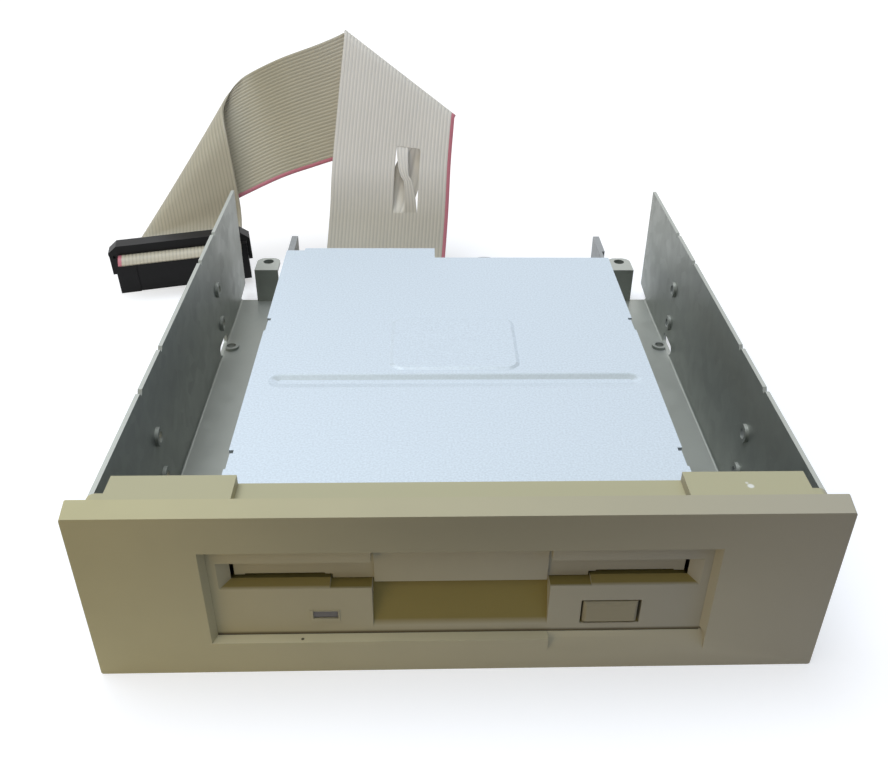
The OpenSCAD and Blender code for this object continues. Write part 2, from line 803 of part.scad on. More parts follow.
// Cage that holds the disk: top plate, side walls with lips, and four guide pins
module disk_cage() color(zinc) {
    difference() {
        box([-cage_out, cage_out], cage_y, [cage_top - sheet, cage_top]);
        box([-arm_half - 3, arm_half + 3], [spindle_y + hub_r + 1, cage_y[1] + 1],
            [cage_top - 2, cage_top + 1]);
    }
    both_sides() {
        box([cage_out - sheet, cage_out], cage_y, [cage_bottom, cage_top]);
        box([cage_out - cage_lip, cage_out], cage_y, [cage_bottom, cage_bottom + sheet]);
        for (y = pin_y)
            bar_along_x(cage_out - 0.4, inner_w + 0.6, y, pin_z, pin_r);
    }
}

// Lever that holds the slider back until a disk is pushed home
module latch_lever() color(zinc) {
    difference() {
        union() {
            translate([latch_at[0], latch_at[1], latch_z]) {
                cylinder(r = 4.5, h = latch_t);
                rotate([0, 0, 221])
                    latch_arm(10);
                rotate([0, 0, -10])
                    latch_arm(9.5);
            }
        }
        post(latch_at[0], latch_at[1], latch_z - 1, latch_z + 2, 2 + run_gap);
    }
}

module latch_arm(l) {
    translate([0, -1.5, 0])
        cube([l, 3, latch_t]);
    translate([l, 0, 0])
        cylinder(r = 1.5, h = latch_t);
}

module latch_post() color(steel) {
    post(latch_at[0], latch_at[1], base_top, latch_z - move_gap, 3);
    post(latch_at[0], latch_at[1], base_top + 1, latch_z + 2, 2);
    post(latch_at[0], latch_at[1], latch_z + latch_t + move_gap, latch_z + latch_t + 1, 3);
}

module motor_board() color(green) {
    difference() {
        box([-motor_board_x, motor_board_x], motor_board_y, [base_top, motor_board_top]);
        for (p = motor_screw_at)
            post(p[0], p[1], base_top - 1, motor_board_top + 1, 1.2);
    }
}

// Wound stator: a core ring with twelve poles
module motor_stator() color(gold) {
    difference() {
        union() {
            post(0, spindle_y, motor_board_top, motor_board_top + stator_h, 10);
            for (i = [0 : 11])
                translate([0, spindle_y, motor_board_top])
                    rotate([0, 0, i * 30])
                        box([8, rotor_r - 5], [-1.9, 1.9], [0.1, stator_h - 0.1]);
        }
        post(0, spindle_y, motor_board_top - 1, motor_board_top + 4, shaft_r + 2.2);
    }
}

module spindle_bearing() color(gold) {
    difference() {
        post(0, spindle_y, motor_board_top, rotor_z[1] - 1.4, shaft_r + 2);
        post(0, spindle_y, motor_board_top - 1, motor_board_top + 4, shaft_r + run_gap);
    }
}

// Rotor cup that covers the stator
module spindle_rotor() color(zinc) {
    difference() {
        post(0, spindle_y, rotor_z[0], rotor_z[1], rotor_r);
        post(0, spindle_y, rotor_z[0] - 1, rotor_z[1] - 1, rotor_r - rotor_wall);
        post(0, spindle_y, rotor_z[0], rotor_z[1] + 1, shaft_r + fixed_gap);
    }
}

module spindle_shaft() color(steel) {
    post(0, spindle_y, motor_board_top + 0.15, hub_z[1] + 1.4, shaft_r);
}

// Chuck that the disk's hub sits on
module spindle_hub() color(zinc) {
    difference() {
        union() {
            post(0, spindle_y, rotor_z[1], hub_z[1], shaft_r + 3);
            post(0, spindle_y, hub_z[0], hub_z[1], hub_r);
        }
        post(0, spindle_y, rotor_z[1] - 1, hub_z[1] + 1, shaft_r + fixed_gap);
    }
}

module drive_pin() color(steel) {
    post(0, spindle_y + drive_pin_at, hub_z[1], hub_z[1] + 1.6, 1.2);
}

// Switches that sense the disk and its two tabs
module disk_sensors() color(dark) {
    for (p = sensor_at) {
        box([p[0] - sensor_half[0], p[0] + sensor_half[0]], [p[1] - sensor_half[1], p[1] + sensor_half[1]],
            [motor_board_top, drive_z + 11.5]);
        post(p[0], p[1], drive_z + 11, drive_z + 14.2, 0.9);
    }
}

// Carriage: block on the rods, lower head arm, and two ears for the upper arm
module head_carriage() color(dark) {
    difference() {
        union() {
            box([rod_x[0] - 4, rod_x[1] + 4], block_y, [rod_z - 3, screw_z + 2.5]);
            box([-arm_half, arm_half], [pivot_y - arm_l, block_y[0] + 1], [screw_z - 0.4, screw_z + 2.4]);
            both_sides()
                box([arm_half + 0.6, arm_half + 2.6], [pivot_y - 2.5, pivot_y + 2.5],
                    [screw_z + 2, pivot_z + 2]);
        }
        for (x = rod_x)
            bar_along_y(x, block_y[0] - 1, block_y[1] + 1, rod_z, rod_r + run_gap);
        bar_along_y(screw_x, block_y[0] - 1, block_y[1] + 1, screw_z, screw_r + move_gap);
        bar_along_x(-arm_half - 4, arm_half + 4, pivot_y, pivot_z, pivot_r + fixed_gap);
    }
}

module lower_head() color(grey) {
    box([-head_half[0], head_half[0]], [head_y - head_half[1], head_y + head_half[1]],
        [screw_z + 2.4, screw_z + 4.6]);
}

// Places a piece on the lifted upper arm, measured from its pivot
module on_upper_arm() {
    translate([0, pivot_y, pivot_z])
        rotate([-arm_lift, 0, 0])
            children();
}

module upper_head_arm() color(zinc) {
    on_upper_arm()
        difference() {
            union() {
                box([-arm_half, arm_half], [-arm_l, 0], [-0.5, 0.5]);
                bar_along_x(-arm_half, arm_half, 0, 0, pivot_r + 0.7);
            }
            bar_along_x(-arm_half - 1, arm_half + 1, 0, 0, pivot_r + run_gap);
        }
}

module upper_head() color(grey) {
    on_upper_arm()
        box([-head_half[0], head_half[0]], [-arm_reach - head_half[1], -arm_reach + head_half[1]],
            [-1.2, -0.5]);
}

module arm_pivot_pin() color(steel) {
    bar_along_x(-arm_half - 2.8, arm_half + 2.8, pivot_y, pivot_z, pivot_r);
}

module guide_rods() color(zinc) {
    for (x = rod_x)
        bar_along_y(x, rod_y[0], rod_y[1], rod_z, rod_r);
}

// Blocks that hold both ends of both rods
module rod_clamps() color(cast) {
    for (x = rod_x, y = [rod_y[0], rod_y[1] - clamp_l])
        difference() {
            box([x - clamp_half, x + clamp_half], [y, y + clamp_l], [base_top, rod_z + rod_r + 0.8]);
            bar_along_y(x, y - 1, y + clamp_l + 1, rod_z, rod_r + fixed_gap);
        }
}

module stepper_motor() color(zinc) {
    difference() {
        union() {
            bar_along_y(screw_x, motor_y[0], motor_y[1], screw_z, motor_r);
            bar_along_y(screw_x, motor_y[1] - 1, motor_y[1] + 1.1, screw_z, 3);
        }
        bar_along_y(screw_x, motor_y[0] - 1, motor_y[0] + 3, screw_z, screw_r + run_gap);
    }
}

// Bent plate that carries the stepper motor's front
module stepper_bracket() color(steel) {
    difference() {
        box([screw_x - motor_r, screw_x + motor_r], [motor_y[0] - bracket_t, motor_y[0]],
            [base_top, screw_z + motor_r]);
        bar_along_y(screw_x, motor_y[0] - 3, motor_y[0] + 1, screw_z, 3);
    }
    box([screw_x - motor_r, screw_x + motor_r], [motor_y[0] - bracket_t - 2.3, motor_y[0] - 1],
        [base_top, base_top + bracket_t]);
}

module lead_screw() color(gold) {
    bar_along_y(screw_x, rod_y[0] - 0.2, motor_y[0] + 2.5, screw_z, screw_r);
}

module lead_screw_bearing() color(cast) {
    difference() {
        box([screw_x - clamp_half, screw_x + clamp_half], [rod_y[0] - 0.6, rod_y[0] + clamp_l],
            [base_top, screw_z + 2.6]);
        bar_along_y(screw_x, rod_y[0] - 2, rod_y[0] + clamp_l + 1, screw_z, screw_r + run_gap);
    }
}

// Logic board, cut out round the stepper motor
module logic_board() color(green) {
    e = inner_w - board_gap;
    s = board_back - board_strip;
    b = rod_x[0] - clamp_half - 4;
    m = [screw_x - motor_r - 1.2, screw_x + motor_r + 1.3];
    difference() {
        translate([0, 0, base_top])
            linear_extrude(board_top - base_top)
                polygon([[-e, board_front], [b, board_front], [b, s], [m[0], s], [m[0], motor_y[1] + 1.5],
                    [m[1], motor_y[1] + 1.5], [m[1], s], [e, s], [e, board_back], [-e, board_back]]);
        for (p = board_screw_at)
            post(p[0], p[1], base_top - 1, board_top + 1, 1.2);
    }
}

module logic_chips() color(dark) {
    box([-41, -27], [board_front + 10, board_front + 22], [board_top, board_top + 2]);
    box([-33, -21], [board_back - 24, board_back - 17], [board_top, board_top + 1.8]);
}

module data_header() color(dark) {
    box([header_x - header_half, header_x + header_half], [header_y, header_y + 2.5],
        [board_top, board_top + 6]);
}

module header_pins() color(gold) {
    for (i = [0 : pin_steps], z = row_z)
        translate([header_x - pins_half + i * pin_pitch, header_y + 2.5, z - pin_w / 2])
            cube([pin_w, pin_l, pin_w]);
}

module power_connector() color(white) {
    difference() {
        box(power_x, [board_back - 10, board_back - 1], [board_top, board_top + 5.8]);
        box([power_x[0] + 1, power_x[1] - 1], [board_back - 8, board_back],
            [board_top + 1, board_top + 4.8]);
    }
}

module power_pins() color(gold) {
    for (i = [-1.5 : 1 : 1.5])
        translate([(power_x[0] + power_x[1]) / 2 + i * pin_pitch - pin_w / 2, board_back - 8,
            board_top + 2.6])
            cube([pin_w, pin_l, pin_w]);
}

module board_screws() color(steel) {
    for (p = board_screw_at)
        translate([p[0], p[1], board_top])
            screw(2.2, 1.4, 1.0, 2.6);
    for (p = motor_screw_at)
        translate([p[0], p[1], motor_board_top])
            screw(2.2, 1.4, 1.0, 2.2);
}

// Plug body on the header's pins
module drive_plug() color(black) {
    difference() {
        box([header_x - plug_half, header_x + plug_half], [plug_front, plug_back], plug_z);
        for (z = row_z)
            box([header_x - socket_half, header_x + socket_half],
                [plug_front - 1, header_y + pin_l + 3],
                [z - 0.6, z + 0.6]);
    }
}

// Cover that presses the ribbon on the plug, with the strain relief bar that the ribbon passes under
module drive_plug_cover() color(black) {
    translate([header_x, 0, 0]) {
        box([-plug_half - 1.4, plug_half + 1.4], [ribbon_y + ribbon_t / 2 + 0.1, ribbon_y + 3.4], plug_z);
        box([-plug_half - 1.4, plug_half + 1.4], [bar_y, bar_y + 1.4], [board_top + 1.8, plug_z[1]]);
        both_sides()
            box([plug_half + 0.1, plug_half + 1.4], [plug_back - 3.5, bar_y + 1.4],
                [board_top + 1.8, plug_z[1]]);
    }
}

// Ribbon swept along its route with a flat section
function unit(v) = v / norm(v);
function last(v) = len(v) - 1;
function route_dir(i) = unit(route[min(i + 1, last(route))][0] - route[max(i - 1, 0)][0]);
function route_out(i) = unit(cross(route_dir(i), route[i][1])) * ribbon_t / 2;
function ribbon_ring(i) = [
    route[i][0] + route[i][1] + route_out(i),
    route[i][0] - route[i][1] + route_out(i),
    route[i][0] - route[i][1] - route_out(i),
    route[i][0] + route[i][1] - route_out(i)
];

module ribbon_cable() color(grey) {
    n = len(route);
    points = [for (i = [0 : n - 1], p = ribbon_ring(i)) p];
    sides = [for (i = [0 : n - 2], k = [0 : 3], f = side_faces(4 * i, k)) f];
    ends = [[0, 1, 2], [0, 2, 3], [4 * n - 4, 4 * n - 2, 4 * n - 3], [4 * n - 4, 4 * n - 1, 4 * n - 2]];
    translate([header_x, ribbon_y, 0])
        polyhedron(points, concat(sides, ends));
}

// Both skins are cut along the same diagonal, so that they keep their distance on a twist
function side_faces(a, k) = let (q = (k + 1) % 4) k < 2
    ? [[a + k, a + 4 + k, a + 4 + q], [a + k, a + 4 + q, a + q]]
    : [[a + k, a + 4 + k, a + q], [a + q, a + 4 + k, a + 4 + q]];

// Places a piece of the host connector, measured from the middle of its underside
module at_host() {
    translate([header_x + host_at[0], ribbon_y + host_at[1], host_lift])
        rotate([0, -host_roll, host_yaw])
            children();
}

// Socket body with thicker ends, and a polarising key at its back
module host_connector() color(black) {
    at_host() {
        box([-host_l / 2, host_l / 2], [-host_d / 2 + 0.4, host_d / 2], [0, host_h]);
        both_sides()
            box([host_l / 2 - 7, host_l / 2], [-host_d / 2, host_d / 2], [0, host_h]);
        box([-2.5, 2.5], [host_d / 2 - 0.1, host_d / 2 + 1], [1, host_h - 2.5]);
    }
}

// Cover pressed over the ribbon, hooked on the body's ends
module host_connector_cover() color(black) {
    a = host_l / 2 + 1.4;
    z = host_h + host_slot;
    at_host() {
        along_y(-host_d / 2 + 0.2, host_d / 2 - 0.2)
            polygon([[-a, z], [a, z], [a, z + 1], [a - 3, z + host_cap_h], [-a + 3, z + host_cap_h],
                [-a, z + 1]]);
        both_sides()
            box([host_l / 2 + 0.1, a], [-2, 2], [host_h - 6.4, z + 0.1]);
    }
}

from_front() {
    adaptor_bezel();
    mounting_tray();
    bezel_screws();
    drive_mount_screws();
    drive_chassis();
    top_cover();
    drive_face();
    door_flap();
    door_pin();
    door_spring();
    led_lens();
    eject_button();
    eject_slider();
    slider_springs();
    disk_cage();
    latch_lever();
    latch_post();
    motor_board();
    motor_stator();
    spindle_bearing();
    spindle_rotor();
    spindle_shaft();
    spindle_hub();
    drive_pin();
    disk_sensors();
    head_carriage();
    lower_head();
    upper_head_arm();
    upper_head();
    arm_pivot_pin();
    guide_rods();
    rod_clamps();
    stepper_motor();
    stepper_bracket();
    lead_screw();
    lead_screw_bearing();
    logic_board();
    logic_chips();
    data_header();
    header_pins();
    power_connector();
    power_pins();
    board_screws();
    drive_plug();
    drive_plug_cover();
    ribbon_cable();
    host_connector();
    host_connector_cover();
}
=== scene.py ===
"""Dresses a floppy disk drive in a half-height adaptor.

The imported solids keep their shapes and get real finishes. Moulded pieces get rounded edges, and the ribbon
cable, the springs and the lead screw's thread are modelled here.
"""

import json
import math

import bmesh
import bpy
from bpy.props import FloatProperty, FloatVectorProperty, IntProperty, PointerProperty
from mathutils import Matrix, Vector


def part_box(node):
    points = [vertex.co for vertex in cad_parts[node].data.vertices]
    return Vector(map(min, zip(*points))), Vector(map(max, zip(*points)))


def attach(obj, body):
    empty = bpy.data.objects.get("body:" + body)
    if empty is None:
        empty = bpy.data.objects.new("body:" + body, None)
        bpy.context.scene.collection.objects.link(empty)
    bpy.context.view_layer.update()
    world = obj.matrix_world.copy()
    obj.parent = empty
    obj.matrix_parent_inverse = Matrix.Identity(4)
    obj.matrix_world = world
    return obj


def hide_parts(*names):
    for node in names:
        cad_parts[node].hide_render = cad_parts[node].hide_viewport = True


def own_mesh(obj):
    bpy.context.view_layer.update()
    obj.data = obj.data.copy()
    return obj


bl_info = {
    "name": "Floppy Drive Dressing",
    "version": (1, 0, 0),
    "blender": (4, 5, 0),
    "location": "3D View > Sidebar > Drive",
    "description": "Finishes and fine pieces for a floppy disk drive in a half-height adaptor",
    "category": "Object",
}

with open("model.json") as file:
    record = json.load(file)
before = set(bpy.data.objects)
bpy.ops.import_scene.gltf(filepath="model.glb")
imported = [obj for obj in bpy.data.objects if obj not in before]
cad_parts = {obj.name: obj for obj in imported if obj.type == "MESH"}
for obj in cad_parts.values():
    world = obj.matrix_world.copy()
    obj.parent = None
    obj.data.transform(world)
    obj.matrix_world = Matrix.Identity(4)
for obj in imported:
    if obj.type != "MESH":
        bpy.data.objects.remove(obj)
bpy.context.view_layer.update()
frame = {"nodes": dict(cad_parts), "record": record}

MM = 0.001
# Width in pixels of the image that the focal length belongs to
IMAGE_W = 890


def linear(code):
    """Linear colour of an sRGB hex code."""
    shares = [int(code[i:i + 2], 16) / 255 for i in (0, 2, 4)]
    return tuple(s / 12.92 if s <= 0.04045 else ((s + 0.055) / 1.055) ** 2.4 for s in shares)


def add(tree, kind, inputs=None, **settings):
    """Adds a node to a tree: settings are its own, inputs are values or sockets to link from."""
    made = tree.nodes.new(kind)
    for key, value in settings.items():
        setattr(made, key, value)
    for key, value in (inputs or {}).items():
        if isinstance(value, bpy.types.NodeSocket):
            tree.links.new(value, made.inputs[key])
        else:
            made.inputs[key].default_value = value
    return made


# Settings that a user would change

def colour_setting(name, description, code):
    """A colour that a user would change, with an sRGB hex code as its default."""
    return FloatVectorProperty(name=name, description=description, subtype="COLOR", default=linear(code))


class RibbonSettings(bpy.types.PropertyGroup):
    """Sizes and colours of the ribbon cable"""
    width: FloatProperty(name="Width", description="Over all conductors", default=0.0428, unit="LENGTH")
    thickness: FloatProperty(name="Thickness", description="Over one conductor", default=0.0009,
                             unit="LENGTH")
    web: FloatProperty(name="Web", description="Thickness between conductors, as a share", default=0.7,
                       min=0, max=1, subtype="FACTOR")
    conductors: IntProperty(name="Conductors", description="Number of conductors", default=34)
    length: FloatProperty(name="Length", description="End to end", default=0.257, unit="LENGTH")
    twist_first: IntProperty(name="First twisted", description="First conductor of the twist", default=10)
    twist_last: IntProperty(name="Last twisted", description="Last conductor of the twist", default=16)
    twist_from: FloatProperty(name="Twist start", description="Along the ribbon", default=0.0625,
                              unit="LENGTH")
    twist_to: FloatProperty(name="Twist end", description="Along the ribbon", default=0.0875, unit="LENGTH")
    bunch: FloatProperty(name="Bunch", description="Width of the twist's front half where it crosses",
                         default=0.0024, unit="LENGTH")
    pocket: FloatProperty(name="Pocket", description="How far the twist's other half bulges back",
                          default=0.0028, unit="LENGTH")
    vinyl: colour_setting("Vinyl", "Colour where it has stayed pale", "EDE6D7")
    aged: colour_setting("Aged vinyl", "Colour where it has yellowed", "B6AD90")
    # painted shade: the darker colour between conductors stands for the shade in the grooves
    groove_shade: FloatProperty(name="Groove", description="Brightness between conductors, as a share",
                          default=0.8, min=0, max=1, subtype="FACTOR")
    edge: colour_setting("Edge", "Colour of the first conductor", "C4707A")


class FinishSettings(bpy.types.PropertyGroup):
    """Colours of the finishes, and the rounding of edges"""
    bezel: colour_setting("Bezel", "Yellowed plastic of the adaptor", "BFB78D")
    # painted shade: the bezel's right end is greyer for the cooler, dimmer light that falls on it
    bezel_right_shade: colour_setting("Bezel right", "Greyer plastic at its right end", "B0A994")
    # painted shade: the plastic behind the bezel's rim is darkened as if in the rim's shadow
    bezel_rim_shade: colour_setting("Bezel back", "Plastic behind the bezel's rim", "B8B28F")
    # painted highlight: the ledge under the window is lighter for the light that falls on it from above
    ledge: colour_setting("Ledge", "Highlit plastic under the window", "DED6B1")
    paint: colour_setting("Paint", "Large fleck of paint on the bezel", "E8E6DA")
    splash: colour_setting("Splash", "Small fleck of paint beside it", "D8D5C6")
    dirt: colour_setting("Dirt", "Dark fleck on the ledge", "57513F")
    # painted shadow: the dark band along the face's lower edge stands for the shadow in the gap above the
    # ledge
    seam: colour_setting("Seam", "Shadow along the face's lower edge", "675F49")
    face: colour_setting("Face", "Plastic of the drive's face", "B8AF8A")
    # painted shade: the face's right end is greyer for the cooler, dimmer light that falls on it
    face_right_shade: colour_setting("Face right", "Greyer plastic at its right end", "A8A391")
    # painted shade: the button's plastic is darker than the face's for the shade on the button's front
    button: colour_setting("Button", "Plastic of the eject button", "9A9277")
    # painted shade: the darker olive colour deep in the face stands for the shade in its recesses
    recess_shade: colour_setting("Shaded face", "Plastic deep in the face", "877942")
    tray: colour_setting("Tray", "Galvanised sheet", "8E928B")
    # partly painted light: the pale dusty colour on faces that look up also stands for the stronger light
    # from above
    dust_and_light: colour_setting("Dust", "Dusty sheet where it lies flat", "B7BAB2")
    cover: colour_setting("Cover", "Zinc plated sheet", "D2DCE2")
    # partly painted shade: the soil colour on slopes that face the front also stands for their shade
    soil: colour_setting("Soil", "Soil on the cover's pressings", "7F867A")
    cast: colour_setting("Casting", "Die-cast metal", "9C9FA0")
    plated: colour_setting("Plated steel", "Sheet inside the drive", "B4B7B8")
    screws: colour_setting("Screws", "Zinc plated screws", "C0C2C2")
    copper: colour_setting("Copper alloy", "Pins, windings and lead screw", "C9A45A")
    black: colour_setting("Black plastic", "Connectors and switches", "0E0E10")
    white: colour_setting("White plastic", "Power connector", "DEDACC")
    board: colour_setting("Boards", "Solder mask", "1E4A33")
    lens: colour_setting("Lens", "Smoked light lens", "5C5750")
    ceramic: colour_setting("Heads", "Head ceramic", "55524F")
    moulded_edge: FloatProperty(name="Moulded edge", description="Radius of moulded edges", default=0.0003,
                                unit="LENGTH")


class StageSettings(bpy.types.PropertyGroup):
    """Camera and light"""
    camera_at: FloatVectorProperty(name="Camera", description="Place of the camera", subtype="TRANSLATION",
                                   default=(-0.0068931, -0.2228786, 0.155651))
    yaw: FloatProperty(name="Yaw", description="Turn to the right", default=math.radians(2.3825),
                       subtype="ANGLE")
    pitch: FloatProperty(name="Pitch", description="Tilt down", default=math.radians(33.6975),
                         subtype="ANGLE")
    roll: FloatProperty(name="Roll", description="Turn of the picture", default=math.radians(1.0516),
                        subtype="ANGLE")
    focal_px: FloatProperty(name="Focal length", description="In pixels of the image", default=940.985,
                            subtype="PIXEL")
    shift: FloatVectorProperty(name="Shift", description="Shift of the picture", size=2,
                               default=(-0.0155, 0.0295))
    key: FloatProperty(name="Key light", description="Watts of the lamp above", default=5.9, unit="POWER")
    front: FloatProperty(name="Front light", description="Watts of the lamp above the camera", default=0.7,
                         unit="POWER")
    warm: FloatProperty(name="Warm light", description="Watts of the lamp on the left", default=0.26,
                        unit="POWER")
    cool: FloatProperty(name="Cool light", description="Watts of the lamp on the right", default=0.55,
                        unit="POWER")
    sky: FloatProperty(name="Sky", description="Strength of the light from straight above", default=1.25)


# Finishes

# A fleck's even middle, as a share of its radius
FLECK_CORE = 0.6
# How far above or below a ledge's level its painted highlight reaches
LEDGE_HIGHLIGHT_DEPTH = 1 * MM
# Depths below the cover's top where soil and painted shade begin and where there is most of them, and their
# shares there
SOIL_AND_SHADE_DEPTHS = (0.03 * MM, 0.15 * MM)
SOIL_AND_SHADE_SHARES = (0.2, 0.45)


def new_finish(name, colour, roughness, metallic=0.0, specular=0.5):
    """A material with its shader's plain values set.

    Returns it, its tree, its shader and its coordinates.
    """
    made = bpy.data.materials.new(name)
    made.use_nodes = True
    tree = made.node_tree
    shader = tree.nodes["Principled BSDF"]
    shader.inputs["Base Color"].default_value = (*colour, 1)
    shader.inputs["Roughness"].default_value = roughness
    shader.inputs["Metallic"].default_value = metallic
    shader.inputs["Specular IOR Level"].default_value = specular
    place = add(tree, "ShaderNodeTexCoord")
    return made, tree, shader, place


def mottle(tree, place, shader, colour, spread, size, detail=3.0):
    """Varies a colour by a spread over patches of a size in metres."""
    noise = add(tree, "ShaderNodeTexNoise",
                {"Vector": place.outputs["Object"], "Scale": 1 / size, "Detail": detail, "Roughness": 0.6})
    low = tuple(c * (1 - spread) for c in colour)
    high = tuple(min(1, c * (1 + spread)) for c in colour)
    share = add(tree, "ShaderNodeMapRange",
                {"Value": noise.outputs["Fac"], "From Min": 0.3, "From Max": 0.7})
    mixed = add(tree, "ShaderNodeMix", {0: share.outputs["Result"], 6: (*low, 1), 7: (*high, 1)},
                data_type="RGBA")
    tree.links.new(mixed.outputs[2], shader.inputs["Base Color"])


def lay_over(finish, share, colour, **blending):
    """Lays a colour by a share over the pattern that a finish has."""
    tree = finish.node_tree
    base = tree.nodes["Principled BSDF"].inputs["Base Color"]
    mixed = add(tree, "ShaderNodeMix", {0: share, 6: base.links[0].from_socket, 7: (*colour, 1)},
                data_type="RGBA", **blending)
    tree.links.new(mixed.outputs[2], base)


def grain(tree, place, shader, size, depth, strength=0.4):
    """Raises a fine grain of a size and depth in metres."""
    noise = add(tree, "ShaderNodeTexNoise",
                {"Vector": place.outputs["Object"], "Scale": 1 / size, "Detail": 2.0, "Roughness": 0.5})
    bump = add(tree, "ShaderNodeBump",
               {"Height": noise.outputs["Fac"], "Distance": depth, "Strength": strength})
    tree.links.new(bump.outputs["Normal"], shader.inputs["Normal"])


def moulded_abs(name, colour, *blends):
    """ABS, injection moulded in a spark-eroded tool: a fine even grain, and yellowing in soft patches.

    A blend, an axis, two places on it and a colour, brings in another colour from the first place to the
    second. One along Y leaves out faces that look to the sides.
    """
    made, tree, shader, place = new_finish(name, colour, roughness=0.56, specular=0.25)
    mottle(tree, place, shader, colour, spread=0.05, size=35 * MM)
    split = add(tree, "ShaderNodeSeparateXYZ", {"Vector": place.outputs["Object"]})
    facing = add(tree, "ShaderNodeSeparateXYZ", {"Vector": place.outputs["Normal"]})
    sideways = add(tree, "ShaderNodeMath", {0: facing.outputs["X"]}, operation="ABSOLUTE")
    most = add(tree, "ShaderNodeMapRange",
               {"Value": sideways.outputs[0], "From Min": 0.2, "From Max": 0.6, "To Min": 1.0,
                "To Max": 0.0})
    for axis, begin, end, other in blends:
        full = most.outputs["Result"] if axis == "Y" else 1.0
        share = add(tree, "ShaderNodeMapRange",
                    {"Value": split.outputs[axis], "From Min": begin, "From Max": end, "To Max": full})
        lay_over(made, share.outputs["Result"], other)
    # the tool's grain of 0.05 mm is too fine to show, so it is drawn at 0.4 mm
    grain(tree, place, shader, size=0.4 * MM, depth=0.04 * MM)
    return made


def fleck(finish, at, radius, colour):
    """Adds a small round fleck of another colour to a finish."""
    tree = finish.node_tree
    place = add(tree, "ShaderNodeTexCoord")
    off = add(tree, "ShaderNodeVectorMath", {0: place.outputs["Object"], 1: at}, operation="DISTANCE")
    share = add(tree, "ShaderNodeMapRange",
                {"Value": off.outputs["Value"], "From Min": radius, "From Max": radius * FLECK_CORE})
    lay_over(finish, share.outputs["Result"], colour)


def ledge_highlight(finish, level, begin, end, colour):
    """Paints a highlight in another colour on a finish, on a ledge that looks up, fading out from begin to
    end along X.
    """
    tree = finish.node_tree
    place = add(tree, "ShaderNodeTexCoord")
    split = add(tree, "ShaderNodeSeparateXYZ", {"Vector": place.outputs["Object"]})
    facing = add(tree, "ShaderNodeSeparateXYZ", {"Vector": place.outputs["Normal"]})
    near = add(tree, "ShaderNodeMath", {0: split.outputs["Z"], 1: level, 2: LEDGE_HIGHLIGHT_DEPTH},
               operation="COMPARE")
    fading = add(tree, "ShaderNodeMapRange",
                 {"Value": split.outputs["X"], "From Min": begin, "From Max": end,
                  "To Min": near.outputs[0], "To Max": 0.0})
    share = add(tree, "ShaderNodeMapRange",
                {"Value": facing.outputs["Z"], "From Min": 0.3, "From Max": 0.7,
                 "To Max": fading.outputs["Result"]})
    lay_over(finish, share.outputs["Result"], colour)


def shadow_patch(finish, at, reach, darkest):
    """Paints a soft shadow on a finish round a place, on faces that look to the front.

    Reach is how far it goes along X and Z, and darkest is the share of the colour that is left at the place.
    """
    tree = finish.node_tree
    place = add(tree, "ShaderNodeTexCoord")
    off = add(tree, "ShaderNodeVectorMath", {0: place.outputs["Object"], 1: at}, operation="SUBTRACT")
    shares = add(tree, "ShaderNodeVectorMath", {0: off.outputs["Vector"], 1: (reach[0], 1.0, reach[1])},
                 operation="DIVIDE")
    far = add(tree, "ShaderNodeVectorMath", {0: shares.outputs["Vector"]}, operation="LENGTH")
    facing = add(tree, "ShaderNodeSeparateXYZ", {"Vector": place.outputs["Normal"]})
    front = add(tree, "ShaderNodeMapRange",
                {"Value": facing.outputs["Y"], "From Min": -0.3, "From Max": -0.7})
    share = add(tree, "ShaderNodeMapRange",
                {"Value": far.outputs["Value"], "From Min": 1.0, "From Max": 0.0,
                 "To Max": front.outputs["Result"]}, interpolation_type="SMOOTHSTEP")
    lay_over(finish, share.outputs["Result"], (darkest,) * 3, blend_type="MULTIPLY")


def galvanised_sheet(name, colour, dust_and_light):
    """Hot-dip galvanised steel sheet: a soft metal sheen, zinc crystals, and a pale dusty colour where it
    lies flat, which is partly painted light on faces that look up.
    """
    made, tree, shader, place = new_finish(name, colour, roughness=0.45, metallic=0.55)
    crystals = add(tree, "ShaderNodeTexVoronoi",
                   {"Vector": place.outputs["Object"], "Scale": 1 / (4 * MM), "Randomness": 1.0})
    share = add(tree, "ShaderNodeMapRange",
                {"Value": crystals.outputs["Color"], "To Min": 0.36, "To Max": 0.5})
    tree.links.new(share.outputs["Result"], shader.inputs["Roughness"])
    mottle(tree, place, shader, colour, spread=0.06, size=6 * MM, detail=4.0)
    # the pale colour on faces that look up is dusty and partly painted light
    facing = add(tree, "ShaderNodeSeparateXYZ", {"Vector": place.outputs["Normal"]})
    flat = add(tree, "ShaderNodeMapRange",
               {"Value": facing.outputs["Z"], "From Min": 0.7, "From Max": 0.98})
    lay_over(made, flat.outputs["Result"], dust_and_light)
    return made


